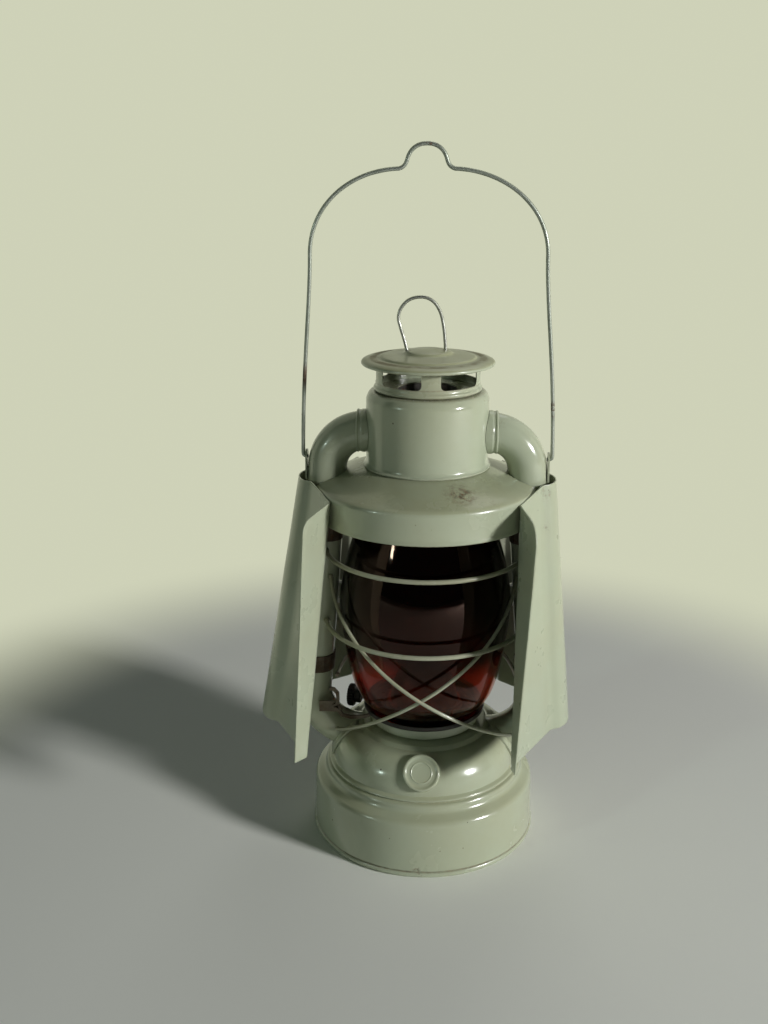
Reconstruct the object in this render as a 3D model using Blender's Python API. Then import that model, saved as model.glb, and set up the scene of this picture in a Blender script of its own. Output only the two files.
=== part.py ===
"""Railway signal lamp: a tubular oil lantern with a red globe and a folded side screen on each air tube.

Lengths are in millimetres and are turned into Blender's metres where a mesh is made. The lamp stands on
z = 0 with its axis on Z. The front, with the round boss, faces -Y, and the air tubes stand at +X and -X.
"""
import math

import bmesh
import bpy
from mathutils import Matrix, Vector

MM = 0.001
GAP = 0.3
PLAY = 0.4

# Tank and base pan
BASE_R = 78.0
RIM_H = 4.3
PAN_T = 1.0
SHEET = 0.8
DRUM_R = 76.5
DRUM_H = 36.5
LEDGE_R = 68.6
BEAD_Z = 46.6
DOME_R = 63.9
DOME_Z = 53.0
DOME_H = 23.4
NECK_R = 44.0
TANK_TOP = 79.0
TANK_HOLE_R = 24.0
BOSS_R = 12.2
BOSS_PROUD = 1.6
BOSS_ANGLE = 40.0

# Burner, wick and its shaft
SEAT_R = 38.0
SEAT_TOP = 88.0
BURNER_TURN = 170.0
BURNER_R = 20.0
BURNER_TOP = 92.0
WICK_W = 15.0
WICK_T = 1.8
WICK_PROUD = 1.5
WICK_FOOT_Z = 22.0
WICK_TUBE_TOP = 113.0
WICK_TUBE_WALL = 0.6
SHAFT_Z = 86.0
SHAFT_R = 1.2
SHAFT_IN = 7.5
WHEEL_R = 4.0
WHEEL_T = 2.0
WHEEL_AT = 4.5
KNOB_R = 8.0
KNOB_T = 5.0
KNOB_AT = 51.0
CONE_TOP = 120.0

# Globe and the plate that lifts it
PLATE_R = 42.0
PLATE_HOLE_R = 27.0
PLATE_RIM_H = 3.6
PLATE_HOLES = 12
GLASS = 2.0
GLOBE_FOOT_R = 38.5
GLOBE_BELLY_R = 58.0
GLOBE_BELLY_Z = 164.0
GLOBE_NECK_R = 34.5
GLOBE_TOP = 254.0

# Chimney, hood and the sprung flue
HOOD_R = 72.6
HOOD_RIM_Z = 230.6
HOOD_EDGE_Z = 250.6
HOOD_TOP_Z = 262.8
CHIMNEY_R = 39.7
CHIMNEY_TOP = 312.0
BELL_R = 37.3
BELL_FOOT_Z = 249.0
BELL_TOP_Z = 268.8
FLUE_R = 20.8
SPRING_R = 24.4
SPRING_WIRE_R = 0.7
SPRING_TURNS = 5

# Vented cap and its loop
VENT_R = 33.5
VENT_TOP = 331.6
VENT_WINDOWS = 5
VENT_POST_TURN = 4.8
WINDOW_SPAN = 51.5
WINDOW_SILL = 317.6
CAP_R = 42.7
CAP_TOP = 338.2
LOOP_WIRE_R = 1.1
LOOP_POINTS = ((-13.4, -5.0), (-13.5, -1.5), (-15.4, 6.0), (-18.0, 14.5), (-19.0, 19.5), (-17.6, 25.0), (-13.0, 30.2),
               (-7.5, 32.2), (-1.5, 32.0), (3.6, 29.0), (7.4, 23.0), (9.3, 15.5), (10.5, 6.0), (10.9, -1.0),
               (10.9, -5.0))

# Air tubes
TUBE_R = 12.8
TUBE_WALL = 0.8
TUBE_TOP_Z = 284.6
TOP_BEND_X = 40.4
TOP_BEND_R = 24.8
TUBE_SPLAY = 4.4
FOOT_BEND_R = 33.0
FOOT_Z = 66.2
FOOT_IN = 15.9
FOOT_FLANGE_R = 19.0
COLLAR_W = 5.6

# Bail
BAIL_PIVOT_Z = 267.0
BAIL_X = 81.1
BAIL_WIRE_R = 1.3
BAIL_TOP_Z = 462.0
BAIL_SHOULDER_Z = 395.0
BAIL_LEAN = -2.0
BAIL_KNEE = {1: 72.8, -1: 74.3}
EAR_T = 1.2
EAR_R = 4.6

# Guard wires
GUARD_WIRE_R = 1.3
WIRE_STEP = 11.0
HOOP_R = 67.0
UPPER_HOOP_Z = 203.0
LOWER_HOOP_Z = 152.0
CROSS_OUTER_R = 64.0
CROSS_INNER_R = 61.1
CROSS_MID_Z = {"front": 121.5, "rear": 134.0}
CROSS_RISE = {"front": 0.72, "rear": 0.5}
CROSS_CURVE = 0.0013

# Side screens
SCREEN_T = 0.8
SCREEN_FOOT_Z = 83.0
SCREEN_TOP_Z = 254.0
SCREEN_TOP_X = 84.5
SCREEN_GROOVE_IN = 9.3
SCREEN_FOOT_GROOVE_IN = 13.5
SCREEN_TOP_HALF = 15.5
SCREEN_FOOT_HALF = 21.8
SCREEN_SPREAD = {"right": 16.6, "left": 29.6}
SCREEN_ROWS = 4
WING_TOP_Z = 249.0
LIP_DROP = 4.0
LIP_CORNER_R = {"right": 14.0, "left": 7.0}
# Each wing's and lip's turn in or out (degrees) and its width, as (at the top, at the foot)
WING_IN = {"front": {"right": (29.0, 29.0), "left": (29.0, 29.0)},
           "rear": {"right": (27.5, 49.6), "left": (27.5, 54.6)}}
WING_W = {"front": {"right": (32.0, 61.0), "left": (32.0, 53.5)},
          "rear": {"right": (38.3, 43.5), "left": (38.3, 54.7)}}
LIP_OUT = {"front": {"right": (15.0, 16.0), "left": (22.5, 40.0)},
           "rear": {"right": (-10.0, -8.0), "left": (-10.0, -8.0)}}
LIP_W = {"front": {"right": (34.5, 8.3), "left": (34.5, 10.5)},
         "rear": {"right": (34.5, 8.0), "left": (34.5, 8.0)}}
CLIP_W = 12.0
CLIP_FLANGE = 6.5
UPPER_CLIP_Z = 218.0
LOWER_CLIP_Z = 122.0

# Filler and lever
FILLER_IN = 9.9
FILLER_R = 8.5
FILLER_TOP = 83.0
FILLER_CAP_R = 10.8
FILLER_CAP_TOP = 88.0
LEVER_T = 1.8
LEVER_Y = -17.0
LEVER_PIVOT_X = -60.0
LEVER_PIVOT_Z = 92.0
LEVER_REACH = 23.0
LEVER_PIN_R = 1.4


def clear_scene():
    for item in list(bpy.data.objects):
        bpy.data.objects.remove(item, do_unlink=True)


def material(name, colour, roughness, metallic=0.0, alpha=1.0):
    """Principled material with the colour, gloss and metal of one finish."""
    made = bpy.data.materials.new(name)
    made.use_nodes = True
    shader = made.node_tree.nodes["Principled BSDF"]
    shader.inputs["Base Color"].default_value = (*colour, 1.0)
    shader.inputs["Roughness"].default_value = roughness
    shader.inputs["Metallic"].default_value = metallic
    shader.inputs["Alpha"].default_value = alpha
    return made


def paint(name):
    return material(name + "_paint", (0.43, 0.47, 0.37), 0.35)


def bare_steel(name):
    return material(name + "_steel", (0.45, 0.44, 0.40), 0.4, 1.0)


def brass(name):
    return material(name + "_brass", (0.55, 0.40, 0.16), 0.4, 1.0)


def red_glass(name):
    return material(name + "_glass", (0.25, 0.01, 0.01), 0.08, 0.0, 0.6)


def cotton(name):
    return material(name + "_cotton", (0.75, 0.70, 0.58), 0.9)


def add_mesh(name, bm, finish):
    """Turn a bmesh in millimetres into a named, smooth-shaded object in metres."""
    bmesh.ops.scale(bm, vec=(MM, MM, MM), verts=bm.verts)
    bmesh.ops.recalc_face_normals(bm, faces=bm.faces)
    mesh = bpy.data.meshes.new(name)
    bm.to_mesh(mesh)
    bm.free()
    mesh.shade_smooth()
    mesh.set_sharp_from_angle(angle=math.radians(35))
    item = bpy.data.objects.new(name, mesh)
    bpy.context.collection.objects.link(item)
    if finish:
        mesh.materials.append(finish(name))
    return item


def turned(name, outline, finish, steps=32, closed=True):
    """Turn an (r, z) outline about Z. An open outline runs from the axis to the axis."""
    bm = bmesh.new()
    verts = [bm.verts.new((r, 0, z)) for r, z in outline]
    ends = zip(verts, verts[1:] + verts[:1]) if closed else zip(verts, verts[1:])
    edges = [bm.edges.new(pair) for pair in ends]
    bmesh.ops.spin(bm, geom=verts + edges, axis=(0, 0, 1), cent=(0, 0, 0), angle=math.tau, steps=steps)
    bmesh.ops.remove_doubles(bm, verts=bm.verts, dist=0.001)
    return add_mesh(name, bm, finish)


def wall(outline, thickness, skip=()):
    """Close an open (r, z) outline into a sheet. The inner side leaves out the skipped points."""
    inner = []
    for index, point in enumerate(outline):
        if index in skip:
            continue
        here = Vector(point)
        before = Vector(outline[max(index - 1, 0)])
        after = Vector(outline[min(index + 1, len(outline) - 1)])
        arrive = (here - before).normalized() if index else (after - here).normalized()
        leave = (after - here).normalized() if index < len(outline) - 1 else arrive
        first = Vector((arrive.y, -arrive.x))
        second = Vector((leave.y, -leave.x))
        mitre = (first + second).normalized()
        inner.append(tuple(here + mitre * thickness / max(mitre.dot(first), 0.5)))
    return list(outline) + inner[::-1]


def arc(centre, radius, start, end, count):
    """Points on an arc in a plane, from a start angle to an end angle in degrees."""
    angles = [math.radians(start + (end - start) * step / count) for step in range(count + 1)]
    return [(centre[0] + radius * math.cos(a), centre[1] + radius * math.sin(a)) for a in angles]


def bezier(first, first_handle, last_handle, last, count):
    """Points on a cubic curve, without its first one."""
    points = []
    for step in range(1, count + 1):
        t = step / count
        weights = ((1 - t) ** 3, 3 * t * (1 - t) ** 2, 3 * t * t * (1 - t), t ** 3)
        corners = (first, first_handle, last_handle, last)
        points.append(tuple(sum(w * c[axis] for w, c in zip(weights, corners)) for axis in range(len(first))))
    return points


def round_bar(name, points, radius, finish, resolution=1, ring=False, capped=True):
    """Round wire or rod along 3-D points, as a mesh read from a bevelled curve."""
    curve = bpy.data.curves.new(name, "CURVE")
    curve.dimensions = "3D"
    curve.bevel_depth = radius * MM
    curve.bevel_resolution = resolution
    curve.use_fill_caps = capped
    spline = curve.splines.new("POLY")
    spline.points.add(len(points) - 1)
    spline.use_cyclic_u = ring
    for target, point in zip(spline.points, points):
        target.co = (*(Vector(point) * MM), 1.0)
    guide = bpy.data.objects.new(name + "_route", curve)
    bpy.context.collection.objects.link(guide)
    mesh = bpy.data.meshes.new_from_object(guide.evaluated_get(bpy.context.evaluated_depsgraph_get()))
    bpy.data.objects.remove(guide, do_unlink=True)
    bm = bmesh.new()
    bm.from_mesh(mesh)
    bpy.data.meshes.remove(mesh)
    bmesh.ops.remove_doubles(bm, verts=bm.verts, dist=1e-6)
    bmesh.ops.scale(bm, vec=(1 / MM, 1 / MM, 1 / MM), verts=bm.verts)
    return add_mesh(name, bm, finish)


def plate(name, outline, thickness, finish, place=Matrix.Identity(4)):
    """Extrude a flat (x, y) outline by a thickness along z, then move it to its place."""
    bm = bmesh.new()
    face = bm.faces.new([bm.verts.new((x, y, 0)) for x, y in outline])
    made = bmesh.ops.extrude_face_region(bm, geom=[face])
    tops = [vert for vert in made["geom"] if isinstance(vert, bmesh.types.BMVert)]
    bmesh.ops.translate(bm, verts=tops, vec=(0, 0, thickness))
    bmesh.ops.transform(bm, matrix=place, verts=bm.verts)
    return add_mesh(name, bm, finish)


def block(name, size, place, finish):
    x, y, z = (length / 2 for length in size)
    return plate(name, [(-x, -y), (x, -y), (x, y), (-x, y)], size[2], finish,
                 place @ Matrix.Translation((0, 0, -z)))


def rod(name, radius, length, place, finish, sides=16):
    """Cylinder along local z from 0 to its length, moved to its place."""
    half = 180 / sides
    return plate(name, arc((0, 0), radius, half, 360 - half, sides - 1), length, finish, place)


def boolean(item, tool, operation="DIFFERENCE"):
    """Cut, keep or join by a tool, which becomes a hidden guide."""
    tool.hide_render = True
    tool.display_type = "WIRE"
    modifier = item.modifiers.new(operation.title(), "BOOLEAN")
    modifier.operation = operation
    modifier.object = tool
    modifier.solver = "EXACT"


def along_x(x, y, z):
    return Matrix.Translation((x, y, z)) @ Matrix.Rotation(math.radians(90), 4, "Y")


def along_y(x, y, z):
    return Matrix.Translation((x, y, z)) @ Matrix.Rotation(math.radians(-90), 4, "X")


def burner_frame():
    """Frame whose x runs along the wick shaft, towards the knob."""
    return Matrix.Rotation(math.radians(BURNER_TURN), 4, "Z")


def dome_outline(offset=0.0):
    """Outer (r, z) line of the dome, from its neck down to its foot, moved outwards by an offset."""
    points = []
    for step in range(7):
        angle = math.radians(84 - 14 * step)
        points.append((NECK_R + (DOME_R - NECK_R + offset) * math.cos(angle),
                       DOME_Z + (DOME_H + offset) * math.sin(angle)))
    return points


def tank_outline():
    """Outer (r, z) line of the fuel tank, from the burner hole down to the seam with the pan."""
    neck = [(TANK_HOLE_R, TANK_TOP), (NECK_R - 1.6, TANK_TOP), (NECK_R + 0.4, TANK_TOP - 0.9)]
    beads = [(DOME_R + 0.9, BEAD_Z + 5.9), (LEDGE_R - 2.4, BEAD_Z + 4.8), (LEDGE_R - 2.6, BEAD_Z + 3.4),
             (LEDGE_R - 0.6, BEAD_Z + 2.2), (LEDGE_R, BEAD_Z)]
    drum = [(DRUM_R - 3.0, DRUM_H + 4.4), (DRUM_R - 0.9, DRUM_H + 2.9), (DRUM_R, DRUM_H),
            (BASE_R - 0.5, RIM_H + GAP)]
    return neck + dome_outline() + beads + drum


def dome_guard(name, offset, foot=DOME_Z - 30):
    """Solid just outside the dome, for cutting what is soldered to it."""
    top = TANK_TOP + offset
    line = [(0, top), (NECK_R - 1.6, top), (NECK_R + 0.4 + offset, TANK_TOP - 0.9)] + dome_outline(offset)
    line = [point for point in line if point[1] > foot]
    return turned(name, line + [(DOME_R + offset, foot), (0, foot)], None, closed=False)


def make_base_pan():
    flange = DRUM_R - GAP
    turned("base_pan", [(0, RIM_H - 0.3), (flange - 1.8, RIM_H - 0.3), (flange - PAN_T, RIM_H + 4.7),
                        (flange, RIM_H + 4.7), (flange, RIM_H), (BASE_R - 0.5, RIM_H), (BASE_R, RIM_H - 0.7),
                        (BASE_R, 0.8), (BASE_R - 0.7, 0), (BASE_R - 10, 0), (BASE_R - 12, 2.4), (0, 2.4)],
           paint, closed=False)


def boss_frame():
    """Frame on the dome's front with z along the surface's normal."""
    angle = math.radians(BOSS_ANGLE)
    radius = NECK_R + (DOME_R - NECK_R) * math.cos(angle)
    height = DOME_Z + DOME_H * math.sin(angle)
    tilt = math.atan2(math.sin(angle) / DOME_H, math.cos(angle) / (DOME_R - NECK_R))
    return Matrix.Translation((0, -radius, height)) @ Matrix.Rotation(math.pi / 2 - tilt, 4, "X")


def make_tank():
    tank = turned("fuel_tank", wall(tank_outline(), SHEET, (2, 4, 6, 8, 10, 11, 12, 13, 16)), paint)
    depth = 6.5
    boss = turned("boss_guide", [(0, BOSS_PROUD - 0.5), (BOSS_R - 3, BOSS_PROUD - 0.5), (BOSS_R - 2.2, BOSS_PROUD),
                                 (BOSS_R - 0.8, BOSS_PROUD), (BOSS_R, BOSS_PROUD - 0.8), (BOSS_R, -depth),
                                 (0, -depth)], None, steps=24, closed=False)
    place = boss_frame()
    place.translation *= MM
    boss.matrix_world = place
    boolean(tank, boss, "UNION")
    for side in (1, -1):
        port = rod(f"port_guide_{side}", TUBE_R - TUBE_WALL, 30, along_x(side * 53 - 15, 0, FOOT_Z), None)
        boolean(tank, port)
    filler = rod("filler_guide", FILLER_R - SHEET, 40, Matrix.Translation((0, (DOME_R - FILLER_IN), 50)), None)
    boolean(tank, filler)


def make_filler():
    neck = turned("filler_neck", [(FILLER_R - SHEET, FILLER_TOP), (FILLER_R, FILLER_TOP), (FILLER_R, 50),
                                  (FILLER_R - SHEET, 50)], paint, steps=24)
    neck.data.transform(Matrix.Translation((0, (DOME_R - FILLER_IN) * MM, 0)))
    boolean(neck, dome_guard("filler_trim", GAP))
    skirt = FILLER_R + PLAY
    cap = turned("filler_cap", [(0, FILLER_CAP_TOP), (FILLER_CAP_R - 1.4, FILLER_CAP_TOP),
                                (FILLER_CAP_R, FILLER_CAP_TOP - 1.2), (FILLER_CAP_R, FILLER_TOP - 3.5),
                                (skirt, FILLER_TOP - 3.5), (skirt, FILLER_TOP + GAP), (0, FILLER_TOP + GAP)],
                 paint, steps=24, closed=False)
    cap.location = (0, (DOME_R - FILLER_IN) * MM, 0)


def make_burner():
    """Seat on the dome, burner cup, wick tube, wick and cone."""
    inner = BURNER_R + 9 + GAP
    seat_foot = TANK_TOP + GAP
    seat = turned("burner_seat", [(SEAT_R - 6.5, SEAT_TOP), (SEAT_R - 0.6, SEAT_TOP), (SEAT_R, SEAT_TOP - 0.8),
                                  (SEAT_R, seat_foot + 1.4), (SEAT_R + 2.2, seat_foot), (inner + 5, seat_foot),
                                  (inner, seat_foot), (inner, seat_foot + SHEET),
                                  (SEAT_R - SHEET, seat_foot + SHEET), (SEAT_R - SHEET, SEAT_TOP - SHEET),
                                  (SEAT_R - 6.5, SEAT_TOP - SHEET)], paint, steps=32)
    floor = seat_foot + 1.2
    plug = TANK_HOLE_R - GAP
    cup = turned("burner_body", [(0, floor), (BURNER_R - SHEET, floor), (BURNER_R - SHEET, BURNER_TOP),
                                 (BURNER_R + 4, BURNER_TOP), (BURNER_R + 4, BURNER_TOP - SHEET),
                                 (BURNER_R, BURNER_TOP - SHEET), (BURNER_R, floor), (BURNER_R + 9, floor),
                                 (BURNER_R + 9, seat_foot), (plug, seat_foot), (plug, TANK_TOP - 5),
                                 (plug - SHEET, TANK_TOP - 5), (plug - SHEET, seat_foot), (0, seat_foot)],
                 brass, steps=24, closed=False)
    tube_w = WICK_W + 2 * (WICK_TUBE_WALL + PLAY)
    tube_t = WICK_T + 2 * (WICK_TUBE_WALL + PLAY)
    frame = burner_frame()
    slot = block("wick_slot_guide", (tube_w + 2 * GAP, tube_t + 2 * GAP, 12),
                 frame @ Matrix.Translation((0, 0, seat_foot)), None)
    boolean(cup, slot)
    bore = rod("shaft_bore_guide", SHAFT_R + GAP, SEAT_R, shaft_frame() @ along_x(BURNER_R / 2, 0, 0), None, 12)
    boolean(cup, bore)
    boolean(seat, bore)
    low = TANK_TOP - 9
    high = WICK_TUBE_TOP
    tube = block("wick_tube", (tube_w, tube_t, high - low), frame @ Matrix.Translation((0, 0, (low + high) / 2)),
                 brass)
    hollow = block("wick_tube_guide", (WICK_W + 2 * PLAY, WICK_T + 2 * PLAY, high - low + 4),
                   frame @ Matrix.Translation((0, 0, (low + high) / 2)), None)
    boolean(tube, hollow)
    for side in (1, -1):
        window = block(f"window_guide_{side}", (WHEEL_T + 2 * PLAY, tube_t, 2 * WHEEL_R),
                       shaft_frame() @ Matrix.Translation((side * WHEEL_AT, shaft_offset() - 1.2, 0)), None)
        boolean(tube, window)
    top = WICK_TUBE_TOP + WICK_PROUD
    wick = block("wick", (WICK_W, WICK_T, top - WICK_FOOT_Z),
                 frame @ Matrix.Translation((0, 0, (top + WICK_FOOT_Z) / 2)), cotton)
    wick.data.set_sharp_from_angle(angle=math.radians(20))
    foot = BURNER_TOP + GAP
    dome = [(0, CONE_TOP), (9, CONE_TOP - 1), (16, CONE_TOP - 5), (20.5, CONE_TOP - 12), (23, foot + 5),
            (23.4, foot + 1), (25.6, foot + SHEET)]
    inside = [(25.6, foot), (23.4 - SHEET, foot), (23 - SHEET, foot + 5), (20.5 - SHEET, CONE_TOP - 12.6),
              (15.5, CONE_TOP - 5.8), (8.8, CONE_TOP - 1.9), (0, CONE_TOP - 0.9)]
    cone = turned("burner_cone", dome + inside, brass, steps=24, closed=False)
    flame = block("flame_guide", (WICK_W + 5, 6.5, 16), frame @ Matrix.Translation((0, 0, CONE_TOP)), None)
    boolean(cone, flame)


def shaft_offset():
    """Distance from the wick's middle to the shaft, so that the wheels reach the wick's face."""
    return WICK_T / 2 + GAP + WHEEL_R


def shaft_frame():
    """Frame on the wick shaft's axis, with x towards the knob."""
    return burner_frame() @ Matrix.Translation((0, -shaft_offset(), SHAFT_Z))


def make_wick_drive():
    """Knob, shaft and two toothed wheels, which turn as one."""
    empty = bpy.data.objects.new("wick_shaft_axis", None)
    bpy.context.collection.objects.link(empty)
    axis = shaft_frame()
    axis.translation *= MM
    empty.matrix_world = axis
    knob_end = KNOB_AT + KNOB_T
    pieces = [rod("wick_shaft", SHAFT_R, knob_end + 1 + SHAFT_IN, along_x(-SHAFT_IN, 0, 0), brass, 10)]
    for index, side in enumerate((1, -1), start=1):
        outline = []
        for tooth in range(10):
            outline += arc((0, 0), WHEEL_R, 36 * tooth - 6, 36 * tooth + 6, 1)
            outline += arc((0, 0), WHEEL_R - 0.9, 36 * tooth + 13, 36 * tooth + 23, 1)
        wheel = plate(f"wick_wheel_{index}", outline, WHEEL_T, brass, along_x(side * WHEEL_AT - WHEEL_T / 2, 0, 0))
        boolean(wheel, shaft_clearance(f"wheel_bore_guide_{index}"))
        pieces.append(wheel)
    lobes = []
    for lobe in range(12):
        lobes += arc((0, 0), KNOB_R, 30 * lobe - 8, 30 * lobe + 8, 1)
    knob = plate("wick_knob", lobes, KNOB_T, bare_steel, along_x(KNOB_AT, 0, 0))
    boolean(knob, shaft_clearance("knob_bore_guide"))
    pieces.append(knob)
    for piece in pieces:
        piece.parent = empty


def shaft_clearance(name):
    """Guide on the shaft's axis that leaves the shaft its clearance."""
    guide = rod(name, SHAFT_R + GAP, 3 * KNOB_AT, along_x(-1.5 * KNOB_AT, 0, 0), None, 10)
    axis = shaft_frame()
    axis.translation *= MM
    guide.matrix_world = axis
    return guide


def make_globe_plate():
    z = SEAT_TOP + GAP
    rim = z + PLATE_RIM_H
    item = turned("globe_plate", [(PLATE_R - SHEET, rim), (PLATE_R, rim), (PLATE_R, z + 0.8), (PLATE_R - 0.8, z),
                                  (PLATE_HOLE_R, z), (PLATE_HOLE_R, z + SHEET), (PLATE_R - 1.2, z + SHEET),
                                  (PLATE_R - SHEET, z + 1.4)], brass)
    bm = bmesh.new()
    for hole in range(PLATE_HOLES):
        angle = math.tau * (hole + 0.5) / PLATE_HOLES
        spot = Matrix.Translation((32 * math.cos(angle), 32 * math.sin(angle), z))
        bmesh.ops.create_cone(bm, cap_ends=True, segments=6, radius1=1.9, radius2=1.9, depth=6, matrix=spot)
    boolean(item, add_mesh("plate_holes_guide", bm, None))


def globe_outline():
    """Outer (r, z) line of the globe, from its foot up to its top edge."""
    foot = SEAT_TOP + GAP + SHEET + GAP
    rise = GLOBE_BELLY_Z - foot
    lower = [(GLOBE_FOOT_R, foot), (GLOBE_FOOT_R, foot + 4)]
    lower += bezier((GLOBE_FOOT_R, foot + 4), (GLOBE_FOOT_R + 9, foot + 7), (GLOBE_BELLY_R - 4, foot + 0.36 * rise),
                    (GLOBE_BELLY_R, GLOBE_BELLY_Z), 6)
    neck_z = GLOBE_TOP - 8
    upper = bezier((GLOBE_BELLY_R, GLOBE_BELLY_Z), (GLOBE_BELLY_R + 1.0, GLOBE_BELLY_Z + 24),
                   (GLOBE_NECK_R + 9, neck_z - 14), (GLOBE_NECK_R, neck_z), 6)
    return lower + upper + [(GLOBE_NECK_R, GLOBE_TOP)]


def make_globe():
    turned("globe", wall(globe_outline()[::-1], GLASS, (3, 5, 8, 10, 12)), red_glass)


def make_chimney():
    """Chimney cylinder with a port for each air tube, and the hood round its foot."""
    top = CHIMNEY_TOP
    foot = HOOD_TOP_Z + GAP
    outer = [(FLUE_R + 1.2, top), (CHIMNEY_R - 4, top), (CHIMNEY_R - 2, top - 0.8), (CHIMNEY_R - 1.4, top - 2.2),
             (CHIMNEY_R - 0.3, top - 4), (CHIMNEY_R, top - 6.5), (CHIMNEY_R, foot + 2),
             (CHIMNEY_R + 1.7, foot + 0.5), (CHIMNEY_R + 1.7, foot)]
    chimney = turned("chimney", wall(outer, SHEET, (2, 4, 7)), paint)
    port = rod("chimney_port_guide", TUBE_R - TUBE_WALL, 120, along_x(-60, 0, TUBE_TOP_Z), None)
    boolean(chimney, port)
    cone_foot = HOOD_R - 2.4
    outer = [(CHIMNEY_R + GAP - SHEET, HOOD_TOP_Z), (CHIMNEY_R + 1.4, HOOD_TOP_Z), (cone_foot, HOOD_EDGE_Z + 1.4),
             (HOOD_R - 0.8, HOOD_EDGE_Z + 0.6), (HOOD_R - 0.2, HOOD_EDGE_Z - 0.8), (HOOD_R - 0.4, HOOD_RIM_Z + 2.2),
             (HOOD_R, HOOD_RIM_Z + 1.2), (HOOD_R, HOOD_RIM_Z)]
    hood = turned("hood", wall(outer, SHEET, (3, 5)), paint)
    for side in (1, -1):
        boolean(hood, tube_clearance(f"hood_port_{side}", side))


def make_flue():
    """Sprung flue: the bell round the globe's neck, the draft tube through the chimney, and the spring."""
    foot = BELL_FOOT_Z
    turned("globe_bell", wall([(FLUE_R - 1.6, BELL_TOP_Z), (BELL_R - 3, BELL_TOP_Z), (BELL_R, BELL_TOP_Z - 3),
                               (BELL_R, foot + 6), (BELL_R + 1.1, foot + 1.3), (BELL_R + 2.1, foot)], SHEET),
           bare_steel, steps=24)
    low = BELL_TOP_Z + GAP
    turned("draft_tube", [(FLUE_R - SHEET, CHIMNEY_TOP), (FLUE_R, CHIMNEY_TOP), (FLUE_R, low),
                          (FLUE_R - SHEET, low)], bare_steel, steps=24)
    start = low + SPRING_WIRE_R
    end = CHIMNEY_TOP - SHEET - GAP - SPRING_WIRE_R
    points = []
    per_turn = 12
    for step in range(SPRING_TURNS * per_turn + 1):
        angle = math.tau * step / per_turn
        points.append((SPRING_R * math.cos(angle), SPRING_R * math.sin(angle),
                       start + (end - start) * step / (SPRING_TURNS * per_turn)))
    round_bar("top_spring", points, SPRING_WIRE_R, bare_steel, resolution=0)


def make_vent_ring():
    low = CHIMNEY_TOP + GAP
    outline = [(VENT_R, VENT_TOP), (VENT_R, low + 3.4), (VENT_R + 1.2, low + 2.4), (VENT_R + 1.2, low + 1.2),
               (VENT_R, low), (FLUE_R - 1.6, low), (FLUE_R - 1.6, low + SHEET), (VENT_R - SHEET, low + SHEET),
               (VENT_R - SHEET, VENT_TOP)]
    ring = turned("vent_ring", outline, paint)
    for index in range(VENT_WINDOWS):
        middle = math.radians(-90 + VENT_POST_TURN + (index + 0.5) * 360 / VENT_WINDOWS)
        half = VENT_R * math.sin(math.radians(WINDOW_SPAN / 2))
        corner = 3.0
        outline = [(-half, 20)] + arc((corner - half, corner), corner, 180, 270, 4)
        outline += arc((half - corner, corner), corner, 270, 360, 4) + [(half, 20)]
        place = (Matrix.Rotation(middle, 4, "Z") @ Matrix.Translation((FLUE_R + 4, 0, WINDOW_SILL))
                 @ Matrix.Rotation(math.radians(90), 4, "Z") @ Matrix.Rotation(math.radians(90), 4, "X"))
        boolean(ring, plate(f"window_cut_{index}", outline, 30, None, place))


def cap_outline():
    """Outer (r, z) line of the stepped lid, from the crown to the rolled rim."""
    return [(0, CAP_TOP), (8, CAP_TOP - 0.3), (14.0, CAP_TOP - 1.3), (17, CAP_TOP - 3.0), (29.5, CAP_TOP - 4.2),
            (31.5, CAP_TOP - 5.4), (34.5, CAP_TOP - 5.5), (CAP_R - 1.6, CAP_TOP - 6.6), (CAP_R - 0.4, CAP_TOP - 7.2),
            (CAP_R, CAP_TOP - 8.2), (CAP_R - 0.5, CAP_TOP - 9.3), (CAP_R - 1.7, CAP_TOP - 9.5),
            (CAP_R - 2.6, CAP_TOP - 8.4)]


def make_cap():
    under = [(CAP_R - 3.2, CAP_TOP - 7.1), (34.3, CAP_TOP - 6.3), (31.1, CAP_TOP - 6.2), (29.1, CAP_TOP - 5.0),
             (16.6, CAP_TOP - 3.9), (13.5, CAP_TOP - 2.2), (8, CAP_TOP - 1.2), (0, CAP_TOP - 0.9)]
    cap = turned("cap_plate", cap_outline() + under, paint, closed=False)
    holes = bmesh.new()
    for foot in (LOOP_POINTS[0], LOOP_POINTS[-1]):
        bmesh.ops.create_cone(holes, cap_ends=True, segments=10, radius1=LOOP_WIRE_R + GAP,
                              radius2=LOOP_WIRE_R + GAP, depth=16,
                              matrix=Matrix.Translation((foot[0], 0, CAP_TOP)))
    boolean(cap, add_mesh("loop_holes_guide", holes, None))


def make_loop():
    """Wire loop through the crown. Its top leans to the left, as a much used one does."""
    route = [(x, 0, CAP_TOP + rise) for x, rise in LOOP_POINTS]
    round_bar("cap_loop", route, LOOP_WIRE_R, bare_steel)


def tube_route():
    """Centre line of the right air tube, from the chimney down to the tank."""
    splay = math.radians(TUBE_SPLAY)
    top = (TOP_BEND_X, TUBE_TOP_Z - TOP_BEND_R)
    start = (top[0] + TOP_BEND_R * math.cos(splay), top[1] + TOP_BEND_R * math.sin(splay))
    run = (start[1] - FOOT_BEND_R * math.sin(splay) - FOOT_Z - FOOT_BEND_R) / math.cos(splay)
    low = (start[0] + run * math.sin(splay) - FOOT_BEND_R * math.cos(splay), FOOT_Z + FOOT_BEND_R)
    upper = arc(top, TOP_BEND_R, 90, TUBE_SPLAY, 7)
    lower = arc(low, FOOT_BEND_R, TUBE_SPLAY, -90, 8)
    first = [(CHIMNEY_R - 6, TUBE_TOP_Z)]
    last = [(low[0] - 4, FOOT_Z)]
    return [(x, 0, z) for x, z in first + upper + lower + last]


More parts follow.
